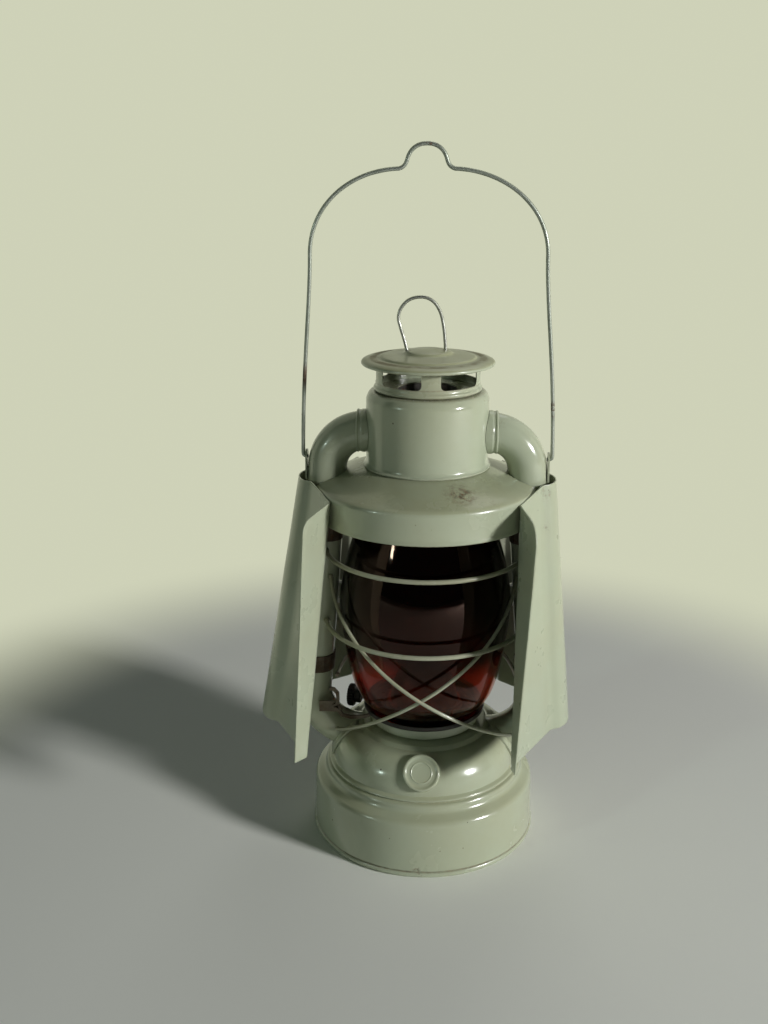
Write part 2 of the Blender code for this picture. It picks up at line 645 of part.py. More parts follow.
def tube_x(z):
    """Distance of the tube's axis from the lamp's axis at a height on its straight leg."""
    splay = math.radians(TUBE_SPLAY)
    start_x = TOP_BEND_X + TOP_BEND_R * math.cos(splay)
    start_z = TUBE_TOP_Z - TOP_BEND_R + TOP_BEND_R * math.sin(splay)
    return start_x + (start_z - z) * math.tan(splay)


def mirrored(points, side):
    return [(side * x, y, z) for x, y, z in points]


def make_tubes():
    for label, side in (("right", 1), ("left", -1)):
        tube = round_bar(f"{label}_air_tube", mirrored(tube_route(), side), TUBE_R, paint, resolution=5, capped=False)
        shell = tube.modifiers.new("Wall", "SOLIDIFY")
        shell.thickness = TUBE_WALL * MM
        shell.offset = -1
        shell.use_even_offset = True
        boolean(tube, rod(f"{label}_chimney_trim", CHIMNEY_R + GAP, 60,
                          Matrix.Translation((0, 0, TUBE_TOP_Z - 30)), None, 32))
        boolean(tube, dome_guard(f"{label}_dome_trim", GAP))
        start = CHIMNEY_R - 4 if side > 0 else -CHIMNEY_R - GAP - COLLAR_W
        collar = rod(f"{label}_tube_collar", TUBE_R + GAP + 1.0, COLLAR_W + GAP + 4, along_x(start, 0, TUBE_TOP_Z),
                     paint, 32)
        boolean(collar, tube_clearance(f"{label}_collar_bore", side))
        boolean(collar, rod(f"{label}_collar_trim", CHIMNEY_R + GAP, 60,
                            Matrix.Translation((0, 0, TUBE_TOP_Z - 30)), None, 32))
        start = DOME_R - FOOT_IN if side > 0 else -DOME_R - 6
        foot = rod(f"{label}_tube_foot", FOOT_FLANGE_R, FOOT_IN + 6, along_x(start, 0, FOOT_Z), paint, 24)
        boolean(foot, dome_guard(f"{label}_flange_outer", GAP + 1.0, DOME_Z + GAP), "INTERSECT")
        boolean(foot, dome_guard(f"{label}_flange_inner", GAP))
        boolean(foot, tube_clearance(f"{label}_flange_bore", side))


def tube_clearance(name, side):
    """Solid that follows the tube's route with a gap all round."""
    return round_bar(name, mirrored(tube_route(), side), TUBE_R + GAP, None, resolution=5)


def bail_route(side):
    """Half of the bail's centre line, from the middle of its hump down to its hook, at x times a side."""
    pivot = BAIL_PIVOT_Z
    lean = side * BAIL_LEAN
    knee = (BAIL_KNEE[side], BAIL_SHOULDER_Z)
    foot = (17.0 + lean, BAIL_TOP_Z - 14.5)
    points = [(lean, BAIL_TOP_Z)]
    points += bezier((lean, BAIL_TOP_Z), (6.5 + lean, BAIL_TOP_Z), (10.5 + lean, BAIL_TOP_Z - 3.5),
                     (12.0 + lean, BAIL_TOP_Z - 9), 5)
    points += bezier((12.0 + lean, BAIL_TOP_Z - 9), (12.8 + lean, BAIL_TOP_Z - 12),
                     (14.0 + lean, BAIL_TOP_Z - 13.6), foot, 4)
    points += bezier(foot, (foot[0] + 30, foot[1] - 1), (knee[0] + 0.2, knee[1] + 31), knee, 12)
    points += bezier(knee, (knee[0] + 0.5, knee[1] - 30), (BAIL_X - 1.0, pivot + 60), (BAIL_X, pivot + 6), 6)
    points += [(BAIL_X, pivot + 1.5), (BAIL_X - 0.4, pivot + 0.5), (BAIL_X - 1.4, pivot), (BAIL_X - 3.1, pivot)]
    return [(x, 0, z) for x, z in points]


def make_bail():
    """Wire bail, turning in an ear on each tube."""
    left = mirrored(bail_route(-1), -1)
    bail = round_bar("bail", left[:0:-1] + bail_route(1), BAIL_WIRE_R, bare_steel)
    pivot = Vector((0, 0, BAIL_PIVOT_Z * MM))
    bail.data.transform(Matrix.Translation(-pivot))
    bail.location = pivot
    for label, side in (("right", 1), ("left", -1)):
        ear_x = BAIL_X - BAIL_WIRE_R - PLAY - EAR_T
        foot = 14.0
        outline = arc((0, 0), EAR_R, -8, 188, 10) + [(-EAR_R - 1.5, -foot), (EAR_R + 1.5, -foot)]
        place = (Matrix.Translation((side * (ear_x + EAR_T / 2), 0, BAIL_PIVOT_Z))
                 @ Matrix.Rotation(math.radians(90), 4, "Z") @ Matrix.Rotation(math.radians(90), 4, "X")
                 @ Matrix.Translation((0, 0, -EAR_T / 2)))
        ear = plate(f"{label}_bail_ear", outline, EAR_T, paint, place)
        boolean(ear, rod(f"{label}_ear_hole", BAIL_WIRE_R + PLAY, 20, along_x(side * ear_x - 10, 0, BAIL_PIVOT_Z),
                         None, 12))
        boolean(ear, tube_clearance(f"{label}_ear_trim", side))


def to_tube(point):
    """Distance from a point to the centre line of the right tube."""
    route = [Vector(p) for p in tube_route()]
    best = 1e9
    for first, second in zip(route, route[1:]):
        leg = second - first
        share = min(max((point - first).dot(leg) / leg.length_squared, 0), 1)
        best = min(best, (point - first - leg * share).length)
    return best


def wire_reach(radius, height):
    """Angle from the front at which a guard wire's end just clears the tube, for a height by angle."""

    def spot(angle):
        turn = math.radians(angle)
        return Vector((radius * math.sin(turn), -radius * math.cos(turn), height(angle)))

    angle = 60.0
    while angle < 88:
        ahead = (spot(angle) - spot(angle - WIRE_STEP)).normalized()
        across = ahead.orthogonal().normalized() * GUARD_WIRE_R
        rim = [spot(angle) + Matrix.Rotation(math.radians(45 * turn), 3, ahead) @ across for turn in range(8)]
        if min(to_tube(point) for point in rim) < TUBE_R + GAP:
            break
        angle += 0.1
    return angle - 0.1


def guard_wire(name, radius, height, front):
    """Guard wire from tube to tube on a cylinder about the lamp's axis."""
    left = -wire_reach(radius, lambda angle: height(-angle))
    right = wire_reach(radius, height)
    count = math.ceil((right - left) / WIRE_STEP)
    points = []
    for step in range(count + 1):
        angle = left + (right - left) * step / count
        turn = math.radians(angle)
        points.append((radius * math.sin(turn), -front * radius * math.cos(turn), height(angle)))
    round_bar(name, points, GUARD_WIRE_R, paint)


def crossed(label, way):
    """Height of a crossed wire by its angle from the lamp's middle; it falls to the right where way is 1."""
    def height(angle):
        return CROSS_MID_Z[label] - way * CROSS_RISE[label] * angle + CROSS_CURVE * angle * angle
    return height


def make_guard():
    for label, front in (("front", 1), ("rear", -1)):
        guard_wire(f"{label}_guard_upper", HOOP_R, lambda angle: UPPER_HOOP_Z, front)
        guard_wire(f"{label}_guard_lower", HOOP_R, lambda angle: LOWER_HOOP_Z, front)
        guard_wire(f"{label}_guard_falling", CROSS_OUTER_R, crossed(label, 1), front)
        guard_wire(f"{label}_guard_rising", CROSS_INNER_R, crossed(label, -1), front)


def wrap_section(label, low):
    """Plan of a screen's wrap round the tube, at its top or its foot, from its front end to its rear one."""
    outer = SCREEN_TOP_X + (SCREEN_SPREAD[label] if low else 0)
    half = SCREEN_FOOT_HALF if low else SCREEN_TOP_HALF
    groove = outer - (SCREEN_FOOT_GROOVE_IN if low else SCREEN_GROOVE_IN)
    return [(groove + (outer - groove) * math.cos(a), half * math.sin(a))
            for a in (math.radians(-90 + 22.5 * step) for step in range(9))]


def reach_out(start, turn, width):
    """Point at a width from a start, turned out from the lamp's front-to-rear line."""
    angle = math.radians(turn)
    return start[0] + width * math.sin(angle), start[1] - width * math.cos(angle)


def make_screen(label, side):
    """One folded sheet: a wrap outside the tube, and a wing with a creased lip to the front and the rear."""
    bm = bmesh.new()

    def column(top, low, flip=1):
        """Vertices down the sheet, from its top edge to its foot."""
        spots = (Vector(top).lerp(Vector(low), row / SCREEN_ROWS) for row in range(SCREEN_ROWS + 1))
        return [bm.verts.new((side * spot.x, flip * spot.y, spot.z)) for spot in spots]

    def join(first, second):
        for row in range(SCREEN_ROWS):
            bm.faces.new((first[row], second[row], second[row + 1], first[row + 1]))

    top_wrap, low_wrap = wrap_section(label, False), wrap_section(label, True)
    wrap = [column((*top, SCREEN_TOP_Z), (*low, SCREEN_FOOT_Z)) for top, low in zip(top_wrap, low_wrap)]
    for first, second in zip(wrap, wrap[1:]):
        join(first, second)
    for end, flip, edge in (("front", 1, wrap[0]), ("rear", -1, wrap[-1])):
        turns, widths = WING_IN[end][label], WING_W[end][label]
        apex = Vector((*reach_out(top_wrap[0], -turns[0], widths[0]), WING_TOP_Z))
        foot = Vector((*reach_out(low_wrap[0], -turns[1], widths[1]), SCREEN_FOOT_Z))
        crease = column(apex, foot, flip)
        join(crease, edge)
        turns, widths = LIP_OUT[end][label], LIP_W[end][label]
        corner = Vector((*reach_out(apex, turns[0], widths[0]), WING_TOP_Z - LIP_DROP))
        tip = Vector((*reach_out(foot, turns[1], widths[1]), SCREEN_FOOT_Z))
        above = corner + (apex - corner).normalized() * LIP_CORNER_R[label]
        below = corner + (tip - corner).normalized() * LIP_CORNER_R[label]
        rounding = bezier(tuple(above), tuple(above.lerp(corner, 0.6)),
                          tuple(below.lerp(corner, 0.6)), tuple(below), 5)
        free = [bm.verts.new((side * spot[0], flip * spot[1], spot[2])) for spot in [above, *rounding, tip]]
        bm.faces.new(crease + free[::-1])
    item = add_mesh(f"{label}_shield", bm, paint)
    sheet = item.modifiers.new("Sheet", "SOLIDIFY")
    sheet.thickness = SCREEN_T * MM
    sheet.offset = -1
    sheet.use_even_offset = True


def wrap_inside(label, y, z):
    """Distance of the wrap's inner face from the lamp's axis, at a height and a little beside its middle."""
    share = (SCREEN_TOP_Z - z) / (SCREEN_TOP_Z - SCREEN_FOOT_Z)
    depth = SCREEN_GROOVE_IN + (SCREEN_FOOT_GROOVE_IN - SCREEN_GROOVE_IN) * share
    half = SCREEN_TOP_HALF + (SCREEN_FOOT_HALF - SCREEN_TOP_HALF) * share
    step = math.radians(22.5)
    slope = depth * (1 - math.cos(step)) / (half * math.sin(step))
    return SCREEN_TOP_X + SCREEN_SPREAD[label] * share - SCREEN_T - slope * y


def strip(path, thickness):
    """Outline of a bent strap of even thickness, from the plan of its middle line."""
    sides = ([], [])
    for index, point in enumerate(path):
        here = Vector(point)
        before = Vector(path[max(index - 1, 0)])
        after = Vector(path[min(index + 1, len(path) - 1)])
        arrive = (here - before).normalized() if index else (after - here).normalized()
        leave = (after - here).normalized() if index < len(path) - 1 else arrive
        first = Vector((arrive.y, -arrive.x))
        mitre = (first + Vector((leave.y, -leave.x))).normalized()
        reach = thickness / 2 / max(mitre.dot(first), 0.5)
        sides[0].append(tuple(here + mitre * reach))
        sides[1].append(tuple(here - mitre * reach))
    return sides[0] + sides[1][::-1]


def make_clip(name, label, side, z):
    """Spring strap spot-welded inside a screen and sprung round the tube."""
    radius = TUBE_R + GAP + SHEET / 2
    slack = CLIP_W / 2 * (SCREEN_SPREAD[label] / (SCREEN_TOP_Z - SCREEN_FOOT_Z) - math.tan(math.radians(TUBE_SPLAY)))
    squeeze = math.cos(math.radians(TUBE_SPLAY))

    def reach(y):
        return (wrap_inside(label, y, z) - tube_x(z)) * squeeze - slack - GAP - SHEET / 2 - 0.15

    path = [(reach(CLIP_FLANGE), CLIP_FLANGE), (reach(1.2), 1.2), (radius + 1.2, 1.2)]
    path += arc((0, 0), radius, 12, 285, 12)
    place = (Matrix.Diagonal((side, 1, 1, 1)) @ Matrix.Translation((tube_x(z), 0, z))
             @ Matrix.Rotation(math.radians(-TUBE_SPLAY), 4, "Y") @ Matrix.Translation((0, 0, -CLIP_W / 2)))
    plate(name, strip(path, SHEET), CLIP_W, bare_steel, place)


def make_screens():
    for label, side in (("right", 1), ("left", -1)):
        make_screen(label, side)
        make_clip(f"{label}_upper_clip", label, side, UPPER_CLIP_Z)
        make_clip(f"{label}_lower_clip", label, side, LOWER_CLIP_Z)


def make_lever():
    """Globe lever: a bent strap on a pin at the left tube, with its toe under the globe plate."""
    toe_z = SEAT_TOP + GAP - GAP - 1.1
    toe_x = LEVER_PIVOT_X + LEVER_REACH
    drop = toe_z - LEVER_PIVOT_Z
    middle = [(-4.5, 14.5), (-1.5, 14.0), (1.0, 11.0), (1.2, 6.0), (0, 0), (4.0, -5.5), (10.0, drop - 2.0),
              (LEVER_REACH - 4, drop - 1.2), (LEVER_REACH, drop)]
    place = (Matrix.Translation((LEVER_PIVOT_X, LEVER_Y + LEVER_T / 2, LEVER_PIVOT_Z))
             @ Matrix.Rotation(math.radians(90), 4, "X"))
    lever = plate("lift_lever", strip(middle, 2.2), LEVER_T, paint, place)
    eye = rod("lever_eye_guide", 3.2, LEVER_T, along_y(LEVER_PIVOT_X, LEVER_Y - LEVER_T / 2, LEVER_PIVOT_Z), None, 14)
    boolean(lever, eye, "UNION")
    boolean(lever, rod("lever_bore_guide", LEVER_PIN_R + GAP, 20,
                       along_y(LEVER_PIVOT_X, LEVER_Y - 10, LEVER_PIVOT_Z), None, 12))
    origin = Vector((LEVER_PIVOT_X, LEVER_Y, LEVER_PIVOT_Z)) * MM
    lever.data.transform(Matrix.Translation(-origin))
    lever.location = origin
    bracket = block("lever_bracket", (14, 1.2, 8),
                    Matrix.Translation((LEVER_PIVOT_X - 5, LEVER_Y + LEVER_T / 2 + GAP + 0.6, LEVER_PIVOT_Z)), paint)
    boolean(bracket, rod("lever_pin_guide", LEVER_PIN_R, LEVER_T + 2 * GAP + 2.2,
                         along_y(LEVER_PIVOT_X, LEVER_Y - LEVER_T / 2 - GAP - 1.4, LEVER_PIVOT_Z), None, 12), "UNION")
    boolean(bracket, tube_clearance("bracket_trim", -1))


def main():
    clear_scene()
    make_base_pan()
    make_tank()
    make_filler()
    make_burner()
    make_wick_drive()
    make_globe_plate()
    make_globe()
    make_chimney()
    make_flue()
    make_vent_ring()
    make_cap()
    make_loop()
    make_tubes()
    make_bail()
    make_guard()
    make_screens()
    make_lever()


main()
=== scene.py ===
"""Railway signal lamp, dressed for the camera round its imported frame.

Sizes are in millimetres and become metres where a mesh is made. The lamp stands on z = 0 with its axis on
Z, its front faces -Y, and its air tubes and side screens stand at +X (right) and -X (left).
"""
from __future__ import annotations

import logging
import math
from collections.abc import Callable, Sequence
from dataclasses import dataclass, field
from enum import Enum

import bmesh
import bpy
from mathutils import Matrix, Vector, noise


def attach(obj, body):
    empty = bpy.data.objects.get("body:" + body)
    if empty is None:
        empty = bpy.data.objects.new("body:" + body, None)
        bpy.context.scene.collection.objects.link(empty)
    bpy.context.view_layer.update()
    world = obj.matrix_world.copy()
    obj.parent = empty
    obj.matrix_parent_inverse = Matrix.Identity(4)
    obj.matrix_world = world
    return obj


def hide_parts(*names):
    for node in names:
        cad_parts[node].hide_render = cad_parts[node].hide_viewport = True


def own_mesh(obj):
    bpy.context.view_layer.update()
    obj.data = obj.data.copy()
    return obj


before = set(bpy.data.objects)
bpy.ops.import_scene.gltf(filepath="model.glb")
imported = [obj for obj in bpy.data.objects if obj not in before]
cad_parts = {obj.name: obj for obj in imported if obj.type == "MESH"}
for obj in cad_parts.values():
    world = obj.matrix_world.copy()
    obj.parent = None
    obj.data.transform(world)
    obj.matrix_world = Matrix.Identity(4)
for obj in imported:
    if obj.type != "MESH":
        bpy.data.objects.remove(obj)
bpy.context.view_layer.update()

MM = 0.001
GAP = 0.3
SHEET = 0.8
SEED = 7
LOG = logging.getLogger("lamp")

Line = list[tuple[float, float]]
Route = list[Vector]
Point = tuple[float, float, float]
Colour = tuple[float, float, float]
Socket = bpy.types.NodeSocket


class Half(Enum):
    """One of two halves of the lamp."""

    @property
    def label(self) -> str:
        """Word that the half's piece names start with."""
        return self.name.lower()


class Side(Half):
    """Side of the lamp as seen from its front, with the sign of its x."""

    RIGHT = 1
    LEFT = -1


class Face(Half):
    """Front or rear half of the guard, with the sign of its distance to the front."""

    FRONT = 1
    REAR = -1


# Outlines and routes

def arc(centre: tuple[float, float], radius: float, start: float, end: float, count: int) -> Line:
    """Points on an arc.

    Args:
        centre: Middle of the arc.
        radius: Its radius.
        start: First angle in degrees.
        end: Last angle in degrees.
        count: Number of steps.

    Returns:
        The points, both ends included.
    """
    turns = [math.radians(start + (end - start) * step / count) for step in range(count + 1)]
    return [(centre[0] + radius * math.cos(turn), centre[1] + radius * math.sin(turn)) for turn in turns]


def bezier(corners: Sequence[Sequence[float]], count: int) -> list[tuple[float, ...]]:
    """Points on a cubic curve.

    Args:
        corners: First point, its handle, the last handle and the last point.
        count: Number of steps.

    Returns:
        The points without the first one.
    """
    points = []
    for step in range(1, count + 1):
        t = step / count
        weights = ((1 - t) ** 3, 3 * t * (1 - t) ** 2, 3 * t * t * (1 - t), t ** 3)
        points.append(tuple(sum(w * c[axis] for w, c in zip(weights, corners))
                            for axis in range(len(corners[0]))))
    return points


def flowing(points: Sequence[Sequence[float]], per_leg: int) -> list[tuple[float, ...]]:
    """Smooth curve through points.

    Args:
        points: Points that the curve passes through.
        per_leg: Steps from one point to the next.

    Returns:
        The points of the curve, both ends included.
    """
    given = [Vector(p) for p in points]
    given = [given[0] * 2 - given[1]] + given + [given[-1] * 2 - given[-2]]
    made = [tuple(given[1])]
    for a, b, c, d in zip(given, given[1:], given[2:], given[3:]):
        reach = (c - b).length
        first = (c - a) * (reach / max((b - a).length + reach, 1e-6))
        last = (d - b) * (reach / max((d - c).length + reach, 1e-6))
        for step in range(1, per_leg + 1):
            t = step / per_leg
            spot = (b * (2 * t ** 3 - 3 * t ** 2 + 1) + first * (t ** 3 - 2 * t ** 2 + t)
                    + c * (3 * t ** 2 - 2 * t ** 3) + last * (t ** 3 - t ** 2))
            made.append(tuple(spot))
    return made


def eased(outline: Line, radius: float, ring: bool = True, least: float = 14.0) -> Line:
    """Round the corners of an (r, z) outline.

    Args:
        outline: The outline's points.
        radius: Radius of the rounding where the legs leave room for it.
        ring: Whether the last point joins the first.
        least: Corners that turn by fewer degrees stay.

    Returns:
        The rounded outline.
    """
    made: Line = []
    count = len(outline)
    for index, point in enumerate(outline):
        if not ring and index in (0, count - 1):
            made.append(point)
            continue
        here = Vector(point)
        before = Vector(outline[index - 1]) - here
        after = Vector(outline[(index + 1) % count]) - here
        turn = math.pi - before.angle(after, math.pi)
        if math.degrees(turn) < least:
            made.append(point)
            continue
        cut = min(radius * math.tan(turn / 2), 0.42 * before.length, 0.42 * after.length)
        first, last = here + before.normalized() * cut, here + after.normalized() * cut
        for step in range(5):
            t = step / 4
            made.append(tuple(first * (1 - t) ** 2 + here * (2 * t * (1 - t)) + last * t * t))
    return made


def walled(outline: Line, thickness: float) -> Line:
    """Close an open (r, z) outline into a sheet whose other face lies to the right of its direction.

    Args:
        outline: The outer face.
        thickness: Thickness of the sheet.

    Returns:
        The closed outline.
    """
    inner: Line = []
    for index, point in enumerate(outline):
        here = Vector(point)
        before = Vector(outline[max(index - 1, 0)])
        after = Vector(outline[min(index + 1, len(outline) - 1)])
        arrive = (here - before).normalized() if index else (after - here).normalized()
        leave = (after - here).normalized() if index < len(outline) - 1 else arrive
        first = Vector((arrive.y, -arrive.x))
        mitre = (first + Vector((leave.y, -leave.x))).normalized()
        inner.append(tuple(here + mitre * thickness / max(mitre.dot(first), 0.6)))
    return list(outline) + inner[::-1]


# Meshes

def piece(name: str, bm: bmesh.types.BMesh, crease: float = 32.0) -> bpy.types.Object:
    """Turn a bmesh in millimetres into a smooth-shaded object in metres.

    Args:
        name: Name of the object.
        bm: The mesh, which is freed.
        crease: Edges that turn by more degrees stay sharp.

    Returns:
        The new object.
    """
    bmesh.ops.scale(bm, vec=(MM, MM, MM), verts=bm.verts)
    bmesh.ops.recalc_face_normals(bm, faces=bm.faces)
    mesh = bpy.data.meshes.new(name)
    bm.to_mesh(mesh)
    bm.free()
    mesh.shade_smooth()
    mesh.set_sharp_from_angle(angle=math.radians(crease))
    item = bpy.data.objects.new(name, mesh)
    bpy.context.scene.collection.objects.link(item)
    return item


def add_lathe(bm: bmesh.types.BMesh, outline: Line, steps: int, ring: bool,
              place: Matrix = Matrix.Identity(4), lobes: int = 0, depths: Sequence[float] = ()) -> None:
    """Add a body turned about the place's Z.

    Args:
        bm: Mesh that the body is added to.
        outline: Its (r, z) outline. Where it isn't a ring, it runs from the axis to the axis.
        steps: Steps round the axis.
        ring: Whether the last point joins the first.
        place: Frame that the outline is turned in.
        lobes: Number of ribs round the body.
        depths: Height of the ribs at each point of the outline.
    """
    rows = []
    for index, (radius, height) in enumerate(outline):
        if radius < 1e-6:
            rows.append([bm.verts.new(place @ Vector((0, 0, height)))] * steps)
            continue
        row = []
        for step in range(steps):
            turn = math.tau * step / steps
            swell = depths[index] * math.cos(lobes * turn) if lobes else 0
            row.append(bm.verts.new(place @ Vector(((radius + swell) * math.cos(turn),
                                                    (radius + swell) * math.sin(turn), height))))
        rows.append(row)
    for first, second in zip(rows, rows[1:] + rows[:1] if ring else rows[1:]):
        for step in range(steps):
            after = (step + 1) % steps
            corners = dict.fromkeys((first[step], first[after], second[after], second[step]))
            if len(corners) > 2:
                bm.faces.new(list(corners))


def turned(name: str, outline: Line, steps: int = 128, ring: bool = True,
           place: Matrix = Matrix.Identity(4)) -> bpy.types.Object:
    """Body turned about the place's Z.

    Args:
        name: Name of the object.
        outline: Its (r, z) outline.
        steps: Steps round the axis.
        ring: Whether the last point joins the first.
        place: Frame that the outline is turned in.

    Returns:
        The new object.
    """
    bm = bmesh.new()
    add_lathe(bm, outline, steps, ring, place)
    return piece(name, bm)


def add_sweep(bm: bmesh.types.BMesh, route: Route, radius: Callable[[float, float], float],
              turns: Sequence[float], hollow: float = 0.0) -> None:
    """Add a bar along a route.

    Args:
        bm: Mesh that the bar is added to.
        route: Points of its centre line.
        radius: Radius for a share of the route and an angle round it in degrees.
        turns: Angles round the route in degrees.
        hollow: Radius of the bore, or 0 for a solid bar with rounded ends.
    """
    last = len(route) - 1
    ahead = [(route[min(index + 1, last)] - route[max(index - 1, 0)]).normalized()
             for index in range(last + 1)]
    across = ahead[0].cross(Vector((0, 1, 0)))
    if across.length < 0.1:
        across = ahead[0].cross(Vector((0, 0, 1)))
    across.normalize()
    rows, bores = [], []
    for index, (spot, way) in enumerate(zip(route, ahead)):
        across = (across - way * across.dot(way)).normalized()
        other = way.cross(across)
        share = index / last
        looks = [across * math.cos(math.radians(t)) + other * math.sin(math.radians(t)) for t in turns]
        rows.append([bm.verts.new(spot + look * radius(share, t)) for look, t in zip(looks, turns)])
        if hollow:
            bores.append([bm.verts.new(spot + look * hollow) for look in looks])
    sides = len(turns)

    def skin(first: list, second: list) -> None:
        """Join two rows by a band of faces."""
        for step in range(sides):
            after = (step + 1) % sides
            bm.faces.new((first[step], first[after], second[after], second[step]))

    for first, second in zip(rows, rows[1:]):
        skin(first, second)
    if hollow:
        for first, second in zip(bores, bores[1:]):
            skin(second, first)
        skin(bores[0], rows[0])
        skin(rows[-1], bores[-1])
        return
    for row, way, spot in ((rows[0], -ahead[0], route[0]), (rows[-1], ahead[-1], route[-1])):
        size = (row[0].co - spot).length
        rim = row
        for shrink, rise in ((0.88, 0.16), (0.62, 0.26)):
            lip = [bm.verts.new(spot + (v.co - spot) * shrink + way * size * rise) for v in row]
            skin(rim, lip)
            rim = lip
        bm.faces.new(rim)


def round_turns(sides: int) -> list[float]:
    """Evenly spaced angles in degrees."""
    return [360 * step / sides for step in range(sides)]


def wire(name: str, points: Sequence[Sequence[float]], radius: float, sides: int = 14) -> bpy.types.Object:
    """Round wire with eased ends.

    Args:
        name: Name of the object.
        points: Points of its centre line.
        radius: Radius of the wire.
        sides: Sides of its section.

    Returns:
        The new object.
    """
    bm = bmesh.new()
    add_sweep(bm, [Vector(p) for p in points], lambda share, turn: radius, round_turns(sides))
    return piece(name, bm, 40)


def rod(name: str, radius: float, length: float, place: Matrix, sides: int = 64) -> bpy.types.Object:
    """Plain cylinder along the place's Z, from 0 to its length."""
    return turned(name, [(0, 0), (radius, 0), (radius, length), (0, length)], sides, False, place)


def block(name: str, size: Sequence[float], place: Matrix) -> bpy.types.Object:
    """Plain box about the place's origin."""
    bm = bmesh.new()
    bmesh.ops.create_cube(bm, size=1, matrix=place @ Matrix.Diagonal((*size, 1)))
    return piece(name, bm)


def shape(item: bpy.types.Object, tool: bpy.types.Object, way: str = "DIFFERENCE") -> None:
    """Cut, keep or join a piece by a tool, which is then removed.

    Args:
        item: The piece that is shaped.
        tool: The tool.
        way: Name of the boolean operation.
    """
    step = item.modifiers.new("Shape", "BOOLEAN")
    step.operation = way
    step.object = tool
    step.solver = "EXACT"
    settle(item)
    bpy.data.objects.remove(tool, do_unlink=True)


def settle(item: bpy.types.Object, crease: float = 32.0) -> None:
    """Make a piece's modifiers part of its mesh.

    Args:
        item: The piece.
        crease: Edges that turn by more degrees stay sharp.
    """
    seen = item.evaluated_get(bpy.context.evaluated_depsgraph_get())
    mesh = bpy.data.meshes.new_from_object(seen)
    item.modifiers.clear()
    item.data = mesh
    mesh.name = item.name
    mesh.shade_smooth()
    mesh.set_sharp_from_angle(angle=math.radians(crease))


def along_x(x: float, y: float, z: float) -> Matrix:
    """Frame at a point with its Z along X."""
    return Matrix.Translation((x, y, z)) @ Matrix.Rotation(math.radians(90), 4, "Y")


def ease_edges(item: bpy.types.Object, width: float, angle: float = 40.0) -> None:
    """Soften a piece's sharp edges.

    Args:
        item: The piece.
        width: Width of the softened edge.
        angle: Edges that turn by fewer degrees stay.
    """
    step = item.modifiers.new("Eased edges", "BEVEL")
    step.width = width * MM
    step.segments = 2
    step.limit_method = "ANGLE"
    step.angle_limit = math.radians(angle)


# Finishes

COLOUR_A, COLOUR_B, COLOUR_OUT = 6, 7, 2


class Nodes:
    """Short way to write a node tree."""

    def __init__(self, tree: bpy.types.NodeTree) -> None:
        """Take the tree that nodes are added to."""
        self.nodes = tree.nodes
        self.links = tree.links

    def add(self, kind: str, **values: object) -> bpy.types.Node:
        """Add a node.

        Args:
            kind: Blender's name of the node's type.
            values: Its properties by name.

        Returns:
            The node.
        """
        node = self.nodes.new(kind)
        for key, value in values.items():
            setattr(node, key, value)
        return node

    def feed(self, socket: Socket, value: object) -> None:
        """Link a socket, or set its value.

        Args:
            socket: Input of a node.
            value: Output of a node, number or colour.
        """
        if isinstance(value, Socket):
            self.links.new(value, socket)
        else:
            socket.default_value = (*value, 1.0) if socket.type == "RGBA" else value

    def give(self, node: bpy.types.Node, **values: object) -> None:
        """Feed a node's inputs by their names, with _ for a space."""
        for key, value in values.items():
            self.feed(node.inputs[key.replace("_", " ")], value)

    def sum(self, kind: str, first: Socket | float, second: Socket | float = 0.0) -> Socket:
        """Join two values.

        Args:
            kind: Blender's name of the math operation.
            first: First value.
            second: Second value, which an operation on one value doesn't need.

        Returns:
            The result.
        """
        node = self.add("ShaderNodeMath", operation=kind)
        self.feed(node.inputs[0], first)
        self.feed(node.inputs[1], second)
        return node.outputs[0]

    def length(self, place: Socket) -> Socket:
        """Length of a vector."""
        node = self.add("ShaderNodeVectorMath", operation="LENGTH")
        self.feed(node.inputs[0], place)
        return node.outputs["Value"]

    def mix_shaders(self, share: Socket, first: Socket, second: Socket) -> Socket:
        """Mix two shaders.

        Args:
            share: Share of the second shader.
            first: First shader.
            second: Second shader.

        Returns:
            The mixed shader.
        """
        node = self.add("ShaderNodeMixShader")
        for socket, value in zip(node.inputs, (share, first, second)):
            self.feed(socket, value)
        return node.outputs["Shader"]

    def backdrop_share(self, rearward: Socket) -> Socket:
        """Choose the rays that see the pale backdrop.

        Args:
            rearward: Value that is above 0 behind the lamp.

        Returns:
            1 for the camera's rays, and for mirrored and refracted ones that end behind the lamp.
        """
        path = self.add("ShaderNodeLightPath").outputs
        mirrored = self.sum("MAXIMUM", path["Is Glossy Ray"], path["Is Transmission Ray"])
        mirrored = self.sum("MULTIPLY", mirrored, self.sum("GREATER_THAN", rearward, 0.0))
        return self.sum("MAXIMUM", path["Is Camera Ray"], mirrored)


